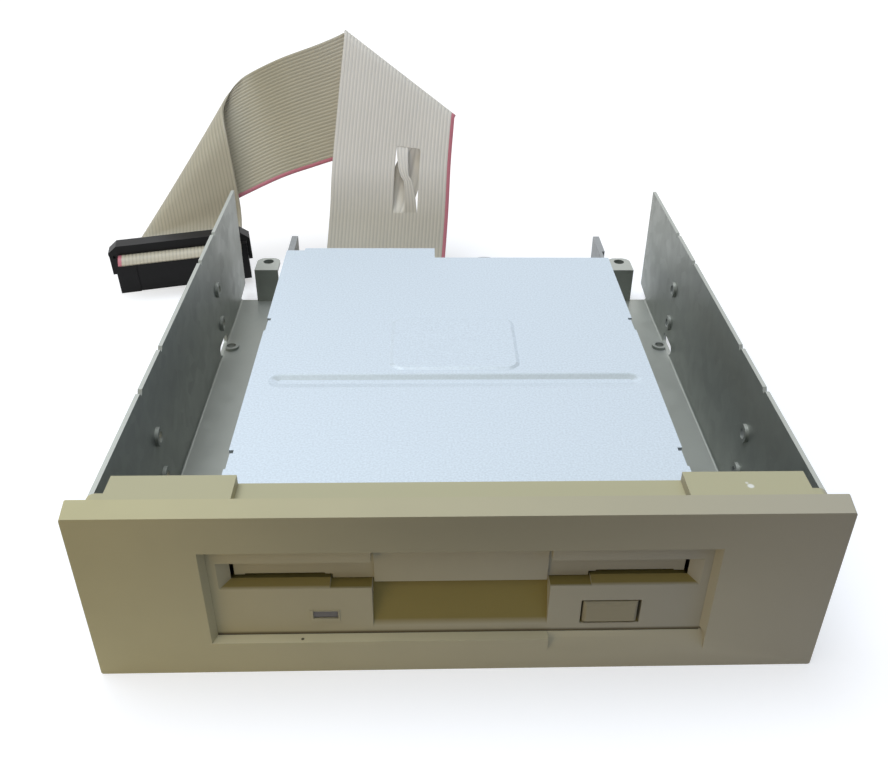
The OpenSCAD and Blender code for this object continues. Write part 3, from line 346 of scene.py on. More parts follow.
def zinc_plated_cover(name, colour, soil, top):
    """Electrogalvanised steel sheet: pale and nearly matt, with a fine speckle.

    Soil and painted shade lie on slopes that face the front, and most of them in pressings below the top, a
    height.
    """
    made, tree, shader, place = new_finish(name, colour, roughness=0.5, metallic=0.3)
    # the zinc's speckle of 0.2 mm is drawn at 0.5 mm so that it shows, and its grain at 0.6 mm
    mottle(tree, place, shader, colour, spread=0.09, size=0.5 * MM, detail=2.0)
    split = add(tree, "ShaderNodeSeparateXYZ", {"Vector": place.outputs["Object"]})
    sunken = add(tree, "ShaderNodeMapRange",
                 {"Value": split.outputs["Z"], "From Min": top - SOIL_AND_SHADE_DEPTHS[0],
                  "From Max": top - SOIL_AND_SHADE_DEPTHS[1], "To Min": SOIL_AND_SHADE_SHARES[0], "To Max": SOIL_AND_SHADE_SHARES[1]})
    facing = add(tree, "ShaderNodeSeparateXYZ", {"Vector": place.outputs["Normal"]})
    # slopes that face the front get soil and painted shade
    share = add(tree, "ShaderNodeMapRange",
                {"Value": facing.outputs["Y"], "From Min": -0.02, "From Max": -0.12,
                 "To Max": sunken.outputs["Result"]})
    lay_over(made, share.outputs["Result"], soil)
    grain(tree, place, shader, size=0.6 * MM, depth=0.02 * MM, strength=0.3)
    return made


def plated_steel(name, colour):
    """Cold-rolled steel with bright zinc plating: a clear metal sheen with faint rolling marks."""
    made, tree, shader, place = new_finish(name, colour, roughness=0.34, metallic=0.9)
    # rolling marks of 0.1 mm are too fine to show, so they are drawn 0.8 mm wide and 10 mm long
    stretched = add(tree, "ShaderNodeMapping",
                    {"Vector": place.outputs["Object"], "Scale": (1.0, 0.08, 1.0)})
    marks = add(tree, "ShaderNodeTexNoise",
                {"Vector": stretched.outputs["Vector"], "Scale": 1 / (0.8 * MM)})
    share = add(tree, "ShaderNodeMapRange", {"Value": marks.outputs["Fac"], "To Min": 0.26, "To Max": 0.42})
    tree.links.new(share.outputs["Result"], shader.inputs["Roughness"])
    return made


def die_casting(name, colour):
    """Die-cast zinc or aluminium, tumbled: a grainy grey metal."""
    made, tree, shader, place = new_finish(name, colour, roughness=0.5, metallic=0.8)
    mottle(tree, place, shader, colour, spread=0.08, size=3 * MM)
    grain(tree, place, shader, size=0.5 * MM, depth=0.05 * MM)
    return made


def copper_alloy(name, colour):
    """Brass and enamelled copper: a warm bright metal, darker in small patches."""
    made, tree, shader, place = new_finish(name, colour, roughness=0.3, metallic=1.0)
    mottle(tree, place, shader, colour, spread=0.12, size=2 * MM)
    return made


def black_polyester(name, colour):
    """Glass-filled polyester, moulded: black with a slight satin and a fine grain."""
    made, tree, shader, place = new_finish(name, colour, roughness=0.42, specular=0.22)
    mottle(tree, place, shader, colour, spread=0.25, size=4 * MM)
    # the tool's grain is too fine to show, so it is drawn at 0.4 mm
    grain(tree, place, shader, size=0.4 * MM, depth=0.03 * MM, strength=0.3)
    return made


def white_nylon(name, colour):
    """Nylon, moulded: a warm white with a soft gloss."""
    made, tree, shader, place = new_finish(name, colour, roughness=0.38)
    mottle(tree, place, shader, colour, spread=0.03, size=5 * MM)
    return made


def solder_mask(name, colour):
    """Glass epoxy board under green solder mask: glossy, with paler tracks below the mask."""
    made, tree, shader, place = new_finish(name, colour, roughness=0.3)
    sized = add(tree, "ShaderNodeMapping",
                {"Vector": place.outputs["Object"], "Scale": (1 / (2.5 * MM),) * 3})
    tracks = add(tree, "ShaderNodeTexBrick",
                 {"Vector": sized.outputs["Vector"], "Scale": 1.0, "Mortar Size": 0.06, "Bias": 0.0})
    pale = tuple(min(1, c * 1.7 + 0.01) for c in colour)
    tracks.inputs["Color1"].default_value = (*colour, 1)
    tracks.inputs["Color2"].default_value = (*(c * 0.9 for c in colour), 1)
    tracks.inputs["Mortar"].default_value = (*pale, 1)
    tree.links.new(tracks.outputs["Color"], shader.inputs["Base Color"])
    return made


def smoked_acrylic(name, colour):
    """Acrylic lens, moulded and tinted smoke grey: glossy and faintly uneven."""
    made, tree, shader, place = new_finish(name, colour, roughness=0.15)
    mottle(tree, place, shader, colour, spread=0.1, size=3 * MM)
    return made


def head_ceramic(name, colour):
    """Ceramic of a head, polished: dark grey and glossy."""
    made, tree, shader, place = new_finish(name, colour, roughness=0.12)
    mottle(tree, place, shader, colour, spread=0.06, size=1 * MM)
    return made


# How far the vinyl has yellowed, with painted light mixed in: shares of the ribbon's length, and of the aged
# colour there
# the pale stretch before the first fold is painted light on the rising ribbon, and the paler cut end is
# painted light on the end that the connector's cap shades
AGEING_AND_LIGHT = ((0.0, 0.6), (0.24, 0.55), (0.31, 0.0), (0.437, 0.0), (0.452, 0.6), (0.62, 0.95), (0.7, 1.0),
          (0.78, 0.85), (0.91, 0.9), (0.95, 0.75), (1.0, 0.75))


def ribbon_vinyl(name, settings):
    """Flat cable in PVC, extruded: pale ridges with painted shade in the grooves, yellowed in places with
    painted light mixed in, and one red edge.
    """
    made, tree, shader, place = new_finish(name, settings.vinyl, roughness=0.42)
    split = add(tree, "ShaderNodeSeparateXYZ", {"Vector": place.outputs["UV"]})
    # UV counts conductors across and millimetres along, so the pattern follows the folds
    phase = add(tree, "ShaderNodeMath", {0: split.outputs["X"]}, operation="FRACT")
    centred = add(tree, "ShaderNodeMath", {0: phase.outputs[0], 1: 0.5}, operation="SUBTRACT")
    off = add(tree, "ShaderNodeMath", {0: centred.outputs[0]}, operation="ABSOLUTE")
    share = add(tree, "ShaderNodeMapRange", {"Value": off.outputs[0], "From Min": 0.22, "From Max": 0.48})
    along = add(tree, "ShaderNodeMath", {0: split.outputs["Y"], 1: MM / settings.length},
                operation="MULTIPLY")
    # the yellowing ramp also carries painted light
    ageing_and_light = add(tree, "ShaderNodeValToRGB", {"Fac": along.outputs[0]})
    stops = ageing_and_light.color_ramp.elements
    for i, (at, aged) in enumerate(AGEING_AND_LIGHT):
        stop = stops[i] if i < 2 else stops.new(at)
        stop.position, stop.color = at, (aged, aged, aged, 1)
    tint = add(tree, "ShaderNodeMix",
               {0: ageing_and_light.outputs["Color"], 6: (*settings.vinyl, 1), 7: (*settings.aged, 1)},
               data_type="RGBA")
    # the darker colour between conductors is painted shade
    dark = add(tree, "ShaderNodeMapRange",
               {"Value": share.outputs["Result"], "To Min": 1.0, "To Max": settings.groove_shade})
    vinyl = add(tree, "ShaderNodeMix", {0: 1.0, 6: tint.outputs[2], 7: dark.outputs["Result"]},
                data_type="RGBA", blend_type="MULTIPLY")
    first = add(tree, "ShaderNodeMath", {0: split.outputs["X"], 1: 1.0}, operation="LESS_THAN")
    striped = add(tree, "ShaderNodeMix",
                  {0: first.outputs[0], 6: vinyl.outputs[2], 7: (*settings.edge, 1)}, data_type="RGBA")
    soil = add(tree, "ShaderNodeTexNoise",
               {"Vector": place.outputs["Object"], "Scale": 1 / (18 * MM), "Detail": 4.0})
    dulled = add(tree, "ShaderNodeMapRange", {"Value": soil.outputs["Fac"], "To Min": 0.9, "To Max": 1.06})
    final = add(tree, "ShaderNodeMix", {0: 1.0, 6: striped.outputs[2], 7: dulled.outputs["Result"]},
                data_type="RGBA", blend_type="MULTIPLY")
    tree.links.new(final.outputs[2], shader.inputs["Base Color"])
    return made


# Making and dressing pieces

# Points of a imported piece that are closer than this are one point
WELD = 2e-6
# Faces that meet at less than the first angle are one face, and edges sharper than the second are rounded
FLAT_ANGLE = math.radians(0.5)
SHARP_ANGLE = math.radians(40)
# Steps in each turn of a coil, and sides of its wire
COIL_STEPS = 20
WIRE_SIDES = 8


def new_piece(name, mesh, finish, body):
    """An object at the origin that rides on a body and takes its finish from a slot."""
    mesh.update()
    piece = bpy.data.objects.new(name, mesh)
    bpy.context.scene.collection.objects.link(piece)
    mesh.materials.append(finish)
    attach(piece, body)
    return piece


def smooth_by_angle(mesh, degrees=35):
    """Shades a mesh smooth, apart from its sharp edges."""
    mesh.polygons.foreach_set("use_smooth", [True] * len(mesh.polygons))
    mesh.set_sharp_from_angle(angle=math.radians(degrees))


def body_of(node):
    """Name of the body that a node rides on."""
    return next(b for b, nodes in frame["record"]["behaviour"]["bodies"].items() if node in nodes)


def dress(finish, *nodes):
    """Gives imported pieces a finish."""
    for node in nodes:
        mesh = frame["nodes"][node].data
        mesh.materials.clear()
        mesh.materials.append(finish)


def rounded_copy(node, radius, finish):
    """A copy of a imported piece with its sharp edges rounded, which stands for it."""
    bm = bmesh.new()
    bm.from_mesh(frame["nodes"][node].data)
    bmesh.ops.remove_doubles(bm, verts=bm.verts[:], dist=WELD)
    bmesh.ops.dissolve_limit(bm, angle_limit=FLAT_ANGLE, verts=bm.verts[:], edges=bm.edges[:])
    bmesh.ops.connect_verts_concave(bm, faces=bm.faces[:])
    sharp = [e for e in bm.edges if e.is_manifold and e.calc_face_angle() > SHARP_ANGLE]
    bmesh.ops.bevel(bm, geom=sharp, offset=radius, offset_type="OFFSET", affect="EDGES", segments=2,
                    profile=0.5, material=-1, clamp_overlap=True)
    bmesh.ops.connect_verts_concave(bm, faces=bm.faces[:])
    mesh = bpy.data.meshes.new(node + "_rounded")
    bm.to_mesh(mesh)
    bm.free()
    smooth_by_angle(mesh)
    piece = new_piece(node + "_rounded", mesh, finish, body_of(node))
    weighted = piece.modifiers.new("Even shading", "WEIGHTED_NORMAL")
    weighted.keep_sharp = True
    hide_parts(node)


def coil(bm, start, axis, length, radius, wire, turns):
    """Adds a right-handed coil of round wire along X or Y."""
    steps = round(turns * COIL_STEPS)
    ring = bmesh.ops.create_circle(bm, segments=WIRE_SIDES, radius=wire)["verts"]
    bmesh.ops.translate(bm, verts=ring, vec=start + Vector((axis.y, axis.x, 0)) * radius)
    edges = list({e for v in ring for e in v.link_edges})
    bmesh.ops.spin(bm, geom=ring + edges, cent=start, axis=axis, dvec=axis * (length / steps),
                   angle=math.tau * turns, steps=steps)
    bmesh.ops.holes_fill(bm, edges=[e for e in bm.edges if e.is_boundary])


def stand_in(bm, name, node, finish):
    """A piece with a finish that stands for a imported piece."""
    mesh = bpy.data.meshes.new(name)
    bmesh.ops.recalc_face_normals(bm, faces=bm.faces[:])
    bm.to_mesh(mesh)
    bm.free()
    smooth_by_angle(mesh, degrees=50)
    piece = new_piece(name, mesh, finish, body_of(node))
    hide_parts(node)
    return piece


# Ribbon cable

# Route in metres: the ribbon's middle, and the way from there to its red edge. It is measured from the
# header's middle, the plug's ribbon plane and the ground, as in the part's source. Several stations share the
# ways FLAT and STUB
FLAT = (0.0214, 0, 0)
STUB = (-0.021, -0.0041, -0.0009)
ROUTE = [
    ((0, 0, 0.0108), FLAT), ((0, 0, 0.0176), FLAT), ((0, 0.0007, 0.0193), FLAT), ((0, 0.0023, 0.02), FLAT),
    ((0, 0.0039, 0.0193), FLAT), ((0, 0.0046, 0.0176), FLAT), ((0, 0.0046, 0.0108), FLAT),
    ((0, 0.0058, 0.008), FLAT), ((0, 0.0085, 0.0065), FLAT), ((0, 0.014, 0.0055), FLAT),
    ((0.0005, 0.0195, 0.0065), FLAT), ((0.001, 0.0235, 0.01), FLAT),
    ((0.0025, 0.035, 0.0255), (0.0214, -0.0008, 0)),
    ((0.0035, 0.045, 0.0405), (0.0214, -0.0008, 0)),
    ((0.0065, 0.0625, 0.067), (0.0198, -0.0092, -0.0126)),
    ((0.0065, 0.064, 0.0675), (0.0199, -0.0092, -0.0126)),
    ((0.0065, 0.0655, 0.0665), (0.0199, -0.0093, -0.0126)),
    ((-0.015, 0.0645, 0.0585), (0.0084, -0.0109, -0.0162)),
    ((-0.0315, 0.0665, 0.0525), (0.007, -0.0122, -0.0162)),
    ((-0.046, 0.0675, 0.0465), (0.0041, -0.0138, -0.0164)),
    ((-0.0685, 0.059, 0.037), (-0.0133, -0.0195, -0.0229)),
    ((-0.0733, 0.056, 0.0339), (-0.0151, -0.018, -0.0229)),
    ((-0.0754, 0.0517, 0.0321), (-0.0162, -0.0151, -0.0222)),
    ((-0.0753, 0.0474, 0.0306), (-0.0172, -0.0124, -0.021)),
    ((-0.0748, 0.0443, 0.0286), (-0.0182, -0.0103, -0.0187)),
    ((-0.0735, 0.0404, 0.0224), (-0.0198, -0.0065, -0.0099)),
    ((-0.073, 0.0386, 0.0186), (-0.0205, -0.0054, -0.005)),
    ((-0.0731, 0.036, 0.0158), (-0.0209, -0.0044, -0.0017)),
    ((-0.0735, 0.033, 0.0151), STUB), ((-0.072, 0.0254, 0.0151), STUB),
    ((-0.0716, 0.0234, 0.0147), STUB), ((-0.0713, 0.0218, 0.0133), STUB),
]
# Distance between rows of faces along the ribbon, and faces across each conductor
ROW_STEP = 0.0016
CONDUCTOR_CUTS = 4
# Gap between the drive's plug and the ribbon
PLUG_GAP = 0.1 * MM
# How much wider the twist's back half gets, and the thickness of its ends, as shares
SPREAD = 1.6
TWIST_END = 0.7


def through(points, knots, i, t):
    """Point at a share t of the stretch after point i, on one smooth curve through all of them."""
    def slope(k):
        a, b = max(k - 1, 0), min(k + 1, len(points) - 1)
        return (points[b] - points[a]) / (knots[b] - knots[a])
    span = knots[i + 1] - knots[i]
    return (points[i] * (2 * t ** 3 - 3 * t ** 2 + 1) + slope(i) * span * (t ** 3 - 2 * t ** 2 + t)
            + points[i + 1] * (3 * t ** 2 - 2 * t ** 3) + slope(i + 1) * span * (t ** 3 - t ** 2))


def ribbon_rows(settings):
    """Rows across the ribbon: distance along it, middle, way to the red edge, and unit normal."""
    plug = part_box("drive_plug")
    start = Vector(((plug[0].x + plug[1].x) / 2, plug[1].y + PLUG_GAP + settings.thickness / 2, 0))
    middles = [start + Vector(p) for p, _ in ROUTE]
    halves = [Vector(h) for _, h in ROUTE]
    knots = [0.0]
    for a, b in zip(middles, middles[1:]):
        knots.append(knots[-1] + (b - a).length)
    places = []
    for i in range(len(ROUTE) - 1):
        parts = max(2, round((knots[i + 1] - knots[i]) / ROW_STEP))
        places += [(i, k / parts) for k in range(parts)]
    places.append((len(ROUTE) - 2, 1.0))
    points = [through(middles, knots, i, t) for i, t in places]
    ways = [through(halves, knots, i, t) for i, t in places]
    rows, along = [], 0.0
    for k, point in enumerate(points):
        ahead = points[min(k + 1, len(points) - 1)] - points[max(k - 1, 0)]
        along += (point - points[max(k - 1, 0)]).length
        rows.append((along, point, ways[k], ahead.cross(ways[k]).normalized()))
    return rows


def flat_strip(columns, rows):
    """A flat grid of faces: x runs across from -0.5 to 0.5, and y along from 0 to 1."""
    bm = bmesh.new()
    bmesh.ops.create_grid(bm, x_segments=columns, y_segments=rows, size=0.5)
    bmesh.ops.translate(bm, verts=bm.verts, vec=(0, 0.5, 0))
    return bm


def thicken(bm):
    """Gives a flat strip its second skin and its rims: z then runs from -0.5 to 0.5."""
    bmesh.ops.solidify(bm, geom=bm.faces[:], thickness=1.0)
    levels = [v.co.z for v in bm.verts]
    lowest, height = min(levels), max(levels) - min(levels)
    for v in bm.verts:
        v.co.z = (v.co.z - lowest) / height - 0.5


def conductor_height(across, settings):
    """Share of the full thickness at a place counted in conductors from the red edge."""
    off = abs(2 * (across % 1) - 1)
    return settings.web + (1 - settings.web) * math.sqrt(max(0, 1 - off * off))


def fold_strip(bm, place):
    """Moves a strip's points to their places and lays out its UV map.

    The map counts conductors across and millimetres along.
    """
    layer = bm.loops.layers.uv.new("UVMap")
    counted = {v: place(v.co) for v in bm.verts}
    for face in bm.faces:
        for loop in face.loops:
            loop[layer].uv = counted[loop.vert][:2]
    for v, (_, _, point) in counted.items():
        v.co = point
    bmesh.ops.recalc_face_normals(bm, faces=bm.faces[:])


def strip_mesh(bm, name):
    """A smooth mesh from a folded strip."""
    mesh = bpy.data.meshes.new(name)
    bm.to_mesh(mesh)
    bm.free()
    smooth_by_angle(mesh, degrees=50)
    return mesh


class DRIVE_OT_ribbon(bpy.types.Operator):
    """Folds the ribbon cable along its route and adds the twist of seven conductors"""
    bl_idname = "drive.ribbon"
    bl_label = "Ribbon cable"

    def execute(self, context):
        settings = context.scene.drive_ribbon
        finish = ribbon_vinyl("PVC flat cable", settings)
        rows = ribbon_rows(settings)
        count = settings.conductors
        first, last = settings.twist_first - 1, settings.twist_last
        begin = min(range(len(rows)), key=lambda k: abs(rows[k][0] - settings.twist_from))
        end = min(range(len(rows)), key=lambda k: abs(rows[k][0] - settings.twist_to))
        bm = flat_strip(count * CONDUCTOR_CUTS, len(rows) - 1)

        def in_twist(face):
            middle = face.calc_center_median()
            row = middle.y * (len(rows) - 1)
            return first < (0.5 - middle.x) * count < last and begin < row < end

        bmesh.ops.delete(bm, geom=[f for f in bm.faces if in_twist(f)], context="FACES")
        thicken(bm)

        def on_ribbon(co):
            along, point, way, normal = rows[round(co.y * (len(rows) - 1))]
            across = (0.5 - co.x) * count
            lift = co.z * settings.thickness * conductor_height(across, settings)
            return across, along / MM, point + way * (2 * co.x) + normal * lift

        fold_strip(bm, on_ribbon)
        ribbon = new_piece("ribbon_cable_folded", strip_mesh(bm, "ribbon_cable_folded"), finish, "casing")
        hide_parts("ribbon_cable")
        twist = self.twisted_strip(settings, rows, first, last, begin, end, finish)
        return {"FINISHED"}

    def twisted_strip(self, settings, rows, first, last, begin, end, finish):
        """The conductors between first and last, turned half round between two rows.

        The half nearer the red edge bunches up and crosses in front, and the other half spreads out behind.
        """
        count, wide = settings.conductors, last - first
        start, stop = begin - 1, end + 1
        bm = flat_strip(wide * CONDUCTOR_CUTS, stop - start)
        seam = 1 / (wide * CONDUCTOR_CUTS)
        between = [f for f in bm.faces if -seam < f.calc_center_median().x < 0]
        bmesh.ops.delete(bm, geom=between, context="FACES")
        thicken(bm)
        full = wide / count * settings.width / 2

        def on_twist(co):
            row = start + round(co.y * (stop - start))
            along, point, way, normal = rows[row]
            # from -1 to 1 along the twist
            t = min(1, max(-1, 2 * (row - begin) / (end - begin) - 1))
            across = first + (0.5 - co.x) * wide
            within = 2 * abs(co.x) - 0.5
            if co.x >= 0:
                shift = -math.copysign(abs(t) ** 0.5, t) * full / 2
                shift += within * (settings.bunch + (full - settings.bunch) * math.sqrt(abs(t)))
                depth = -settings.thickness * (1 - t * t)
            else:
                shift = t * full / 2 - within * full * (1 + SPREAD - SPREAD * abs(t) ** 3)
                depth = settings.pocket * (1 - t * t)
            lift = co.z * settings.thickness * conductor_height(across, settings)
            if abs(t) == 1:
                lift *= TWIST_END
            centre = point + way * (1 - (first + last) / count)
            return across, along / MM, centre + way.normalized() * shift + normal * (lift + depth)

        fold_strip(bm, on_twist)
        return new_piece("ribbon_twist", strip_mesh(bm, "ribbon_twist"), finish, "casing")


# Adaptor, casing, mechanism and electronics

# Distances behind the bezel's front where its rim ends and where the painted shade behind the rim is full
RIM_SHADE = (5.7 * MM, 5.9 * MM)
# Height of the ledge under the bezel's window, and how far from the bezel's ends its painted highlight begins
# and stops
SILL = 8.55 * MM
LEDGE_HIGHLIGHT_INSETS = (20 * MM, 30 * MM)
# The painted shadow on the bezel's front: its middle along X, how far it goes along X and Z, and its darkest
# share
SHADOW_PATCH_X = 4 * MM
SHADOW_PATCH_REACH = (80 * MM, 30 * MM)
SHADOW_PATCH_DARKEST = 0.68
# Flecks on the bezel: place along X, distance behind its front, and radius
PAINT_FLECK = (56.7 * MM, 8.6 * MM, 0.8 * MM)
SPLASH_FLECK = (56.2 * MM, 9.6 * MM, 0.4 * MM)
DIRT_FLECK = (-32.5 * MM, 1 * MM, 0.4 * MM)
# Distances behind the face's front where the painted shade of the recesses begins and is full
RECESS_SHADE_DEPTHS = (0.3 * MM, 0.9 * MM)
# Heights above the ledge where the painted shadow on the face begins and is full
SEAM_SHADOW_HEIGHTS = (0.9 * MM, 0.3 * MM)
# Rise of the panel that is pressed up out of the cover
PRESSED = 0.4 * MM
# Radius of each spring's wire, and its turns
SLIDER_WIRE, SLIDER_TURNS = 0.25 * MM, 12
DOOR_WIRE, DOOR_TURNS = 0.2 * MM, 9
# The lead screw: radius of its thread's ridge, travel of the heads in one turn, and sides of its bar
RIDGE = 0.25 * MM
LEAD = 3.75 * MM
SCREW_SIDES = 24


class DRIVE_OT_adaptor(bpy.types.Operator):
    """Finishes the bezel, the tray and their screws"""
    bl_idname = "drive.adaptor"
    bl_label = "Adaptor"

    def execute(self, context):
        settings = context.scene.drive_finish
        lo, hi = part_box("adaptor_bezel")
        # the greyish right end is painted shade
        right_shade = ("X", lo.x, hi.x, settings.bezel_right_shade)
        # the darker colour behind the rim is painted shade
        behind = ("Y", lo.y + RIM_SHADE[0], lo.y + RIM_SHADE[1], settings.bezel_rim_shade)
        plastic = moulded_abs("Yellowed ABS", settings.bezel, right_shade, behind)
        # a painted shadow darkens the upper middle of the bezel's front
        shadow_patch(plastic, (SHADOW_PATCH_X, lo.y, hi.z), SHADOW_PATCH_REACH, SHADOW_PATCH_DARKEST)
        # a painted highlight lightens the ledge under the window
        ledge_highlight(plastic, lo.z + SILL, lo.x + LEDGE_HIGHLIGHT_INSETS[0], hi.x - LEDGE_HIGHLIGHT_INSETS[1], settings.ledge)
        # paint lies on the right top block, and dirt on the ledge under the window
        flecks = ((PAINT_FLECK, hi.z, settings.paint), (SPLASH_FLECK, hi.z, settings.splash),
                  (DIRT_FLECK, lo.z + SILL, settings.dirt))
        for (across, back, radius), height, colour in flecks:
            fleck(plastic, (across, lo.y + back, height), radius, colour)
        rounded_copy("adaptor_bezel", settings.moulded_edge, plastic)
        dress(galvanised_sheet("Galvanised steel sheet", settings.tray, settings.dust_and_light), "mounting_tray")
        dress(plated_steel("Zinc plated screws", settings.screws), "bezel_screws", "drive_mount_screws",
              "board_screws")
        return {"FINISHED"}


class DRIVE_OT_casing(bpy.types.Operator):
    """Finishes the drive's cover, chassis, face, door, button and light"""
    bl_idname = "drive.casing"
    bl_label = "Drive casing"

    def execute(self, context):
        settings = context.scene.drive_finish
        lo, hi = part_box("drive_face")
        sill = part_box("adaptor_bezel")[0].z + SILL
        # the face's greyish right end is painted shade
        right_shade = ("X", lo.x, hi.x, settings.face_right_shade)
        # the olive colour in the recesses is painted shade
        recess_shading = ("Y", lo.y + RECESS_SHADE_DEPTHS[0], lo.y + RECESS_SHADE_DEPTHS[1], settings.recess_shade)
        # a painted shadow along the face's lower edge, in the gap above the ledge
        seam_shadow = ("Z", sill + SEAM_SHADOW_HEIGHTS[0], sill + SEAM_SHADOW_HEIGHTS[1], settings.seam)
        # these edges are half as round as the bezel's
        edge = settings.moulded_edge / 2
        rounded_copy("door_flap", edge, moulded_abs("Face ABS", settings.face, right_shade))
        # the button's darker plastic is painted shade
        rounded_copy("eject_button", edge, moulded_abs("Button ABS", settings.button))
        rounded_copy("drive_face", edge,
                     moulded_abs("Sheltered face ABS", settings.face, right_shade, recess_shading, seam_shadow))
        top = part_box("top_cover")[1].z - PRESSED
        dress(zinc_plated_cover("Electrogalvanised sheet", settings.cover, settings.soil, top), "top_cover")
        dress(die_casting("Die-cast metal", settings.cast), "drive_chassis", "rod_clamps",
              "lead_screw_bearing")
        dress(smoked_acrylic("Smoked acrylic", settings.lens), "led_lens")
        return {"FINISHED"}


class DRIVE_OT_mechanism(bpy.types.Operator):
    """Finishes the slider, cage, latch, spindle and heads"""
    bl_idname = "drive.mechanism"
    bl_label = "Mechanism"

    def execute(self, context):
        settings = context.scene.drive_finish
        steel = plated_steel("Plated steel", settings.plated)
        dress(steel, "door_pin", "eject_slider", "disk_cage", "latch_lever", "latch_post", "spindle_rotor",
              "spindle_shaft", "spindle_hub", "drive_pin", "upper_head_arm", "arm_pivot_pin", "guide_rods",
              "stepper_motor", "stepper_bracket")
        copper = copper_alloy("Brass and copper", settings.copper)
        dress(copper, "motor_stator", "spindle_bearing", "header_pins", "power_pins")
        dress(head_ceramic("Head ceramic", settings.ceramic), "lower_head", "upper_head")
        self.slider_springs(steel)
        self.door_spring(steel)
        self.lead_screw(copper)
        return {"FINISHED"}

    def slider_springs(self, finish):
        """Two coil springs that the slider presses together."""
        lo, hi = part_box("slider_springs")
        outer, length = (hi.z - lo.z) / 2, hi.y - lo.y
        bm = bmesh.new()
        for x in (lo.x + outer, hi.x - outer):
            start = Vector((x, lo.y + SLIDER_WIRE, lo.z + outer))
            coil(bm, start, Vector((0, 1, 0)), length - 2 * SLIDER_WIRE, outer - SLIDER_WIRE, SLIDER_WIRE,
                 SLIDER_TURNS)
        springs = stand_in(bm, "slider_springs_coiled", "slider_springs", finish)
        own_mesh(springs)

    def door_spring(self, finish):
        """Torsion spring round the door's pin."""
        lo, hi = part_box("door_spring")
        outer, length = (hi.z - lo.z) / 2, hi.x - lo.x
        bm = bmesh.new()
        start = Vector((lo.x + DOOR_WIRE, lo.y + outer, lo.z + outer))
        coil(bm, start, Vector((1, 0, 0)), length - 2 * DOOR_WIRE, outer - DOOR_WIRE, DOOR_WIRE, DOOR_TURNS)
        stand_in(bm, "door_spring_coiled", "door_spring", finish)

    def lead_screw(self, finish):
        """Lead screw with its thread."""
        lo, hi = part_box("lead_screw")
        core = (hi.z - lo.z) / 2 - RIDGE
        length, middle = hi.y - lo.y, (lo + hi) / 2
        along_y = Matrix.Translation(middle) @ Matrix.Rotation(math.pi / 2, 4, "X")
        bm = bmesh.new()
        bmesh.ops.create_cone(bm, cap_ends=True, segments=SCREW_SIDES, radius1=core, radius2=core,
                              depth=length, matrix=along_y)
        thread = length - 4 * RIDGE
        start = Vector((middle.x, lo.y + 2 * RIDGE, middle.z))
        coil(bm, start, Vector((0, 1, 0)), thread, core, RIDGE, thread / LEAD)
        stand_in(bm, "lead_screw_threaded", "lead_screw", finish)


class DRIVE_OT_electronics(bpy.types.Operator):
    """Finishes the boards, chips and connectors"""
    bl_idname = "drive.electronics"
    bl_label = "Electronics"

    def execute(self, context):
        settings = context.scene.drive_finish
        black = black_polyester("Black polyester", settings.black)
        dress(solder_mask("Green solder mask", settings.board), "motor_board", "logic_board")
        dress(black, "disk_sensors", "head_carriage", "logic_chips", "data_header", "drive_plug",
              "drive_plug_cover", "host_connector", "host_connector_cover")
        dress(white_nylon("White nylon", settings.white), "power_connector")
        return {"FINISHED"}


# Stage

# Half the floor's width
FLOOR_HALF = 3.0
# The floor reflects light near the object and hardly any further off, like paper on a dark table: distances
# from the middle where its edge begins and ends, and the shares of light that it reflects there
PAPER = (0.1, 0.19)
PAPER_SHARE = (0.68, 0.12)
# What a camera sees of the floor: the share that it reflects and a glow, which together come to this
FLOOR_SEEN = 1.15
# Colour of the sky's light
SKY_TINT = "E8F2FF"
# How strongly the sky's light gathers overhead, as a power of the height
SKY_POWER = 3.0
# Lamps: the setting that holds its watts, its place, its width and its colour
LAMPS = (
    ("key", (-0.3, 0.2, 1.02), 0.7, "F0F6FF"),
    ("front", (-0.1, -0.55, 0.85), 0.5, "FFFFFF"),
    ("warm", (-0.28, -0.32, 0.1), 0.2, "FFE2B0"),
    ("cool", (0.8, -0.55, 0.3), 0.4, "7C9CFF"),
)
# Point that the lamps face
LAMPS_FACE = Vector((0, 0, 0.02))


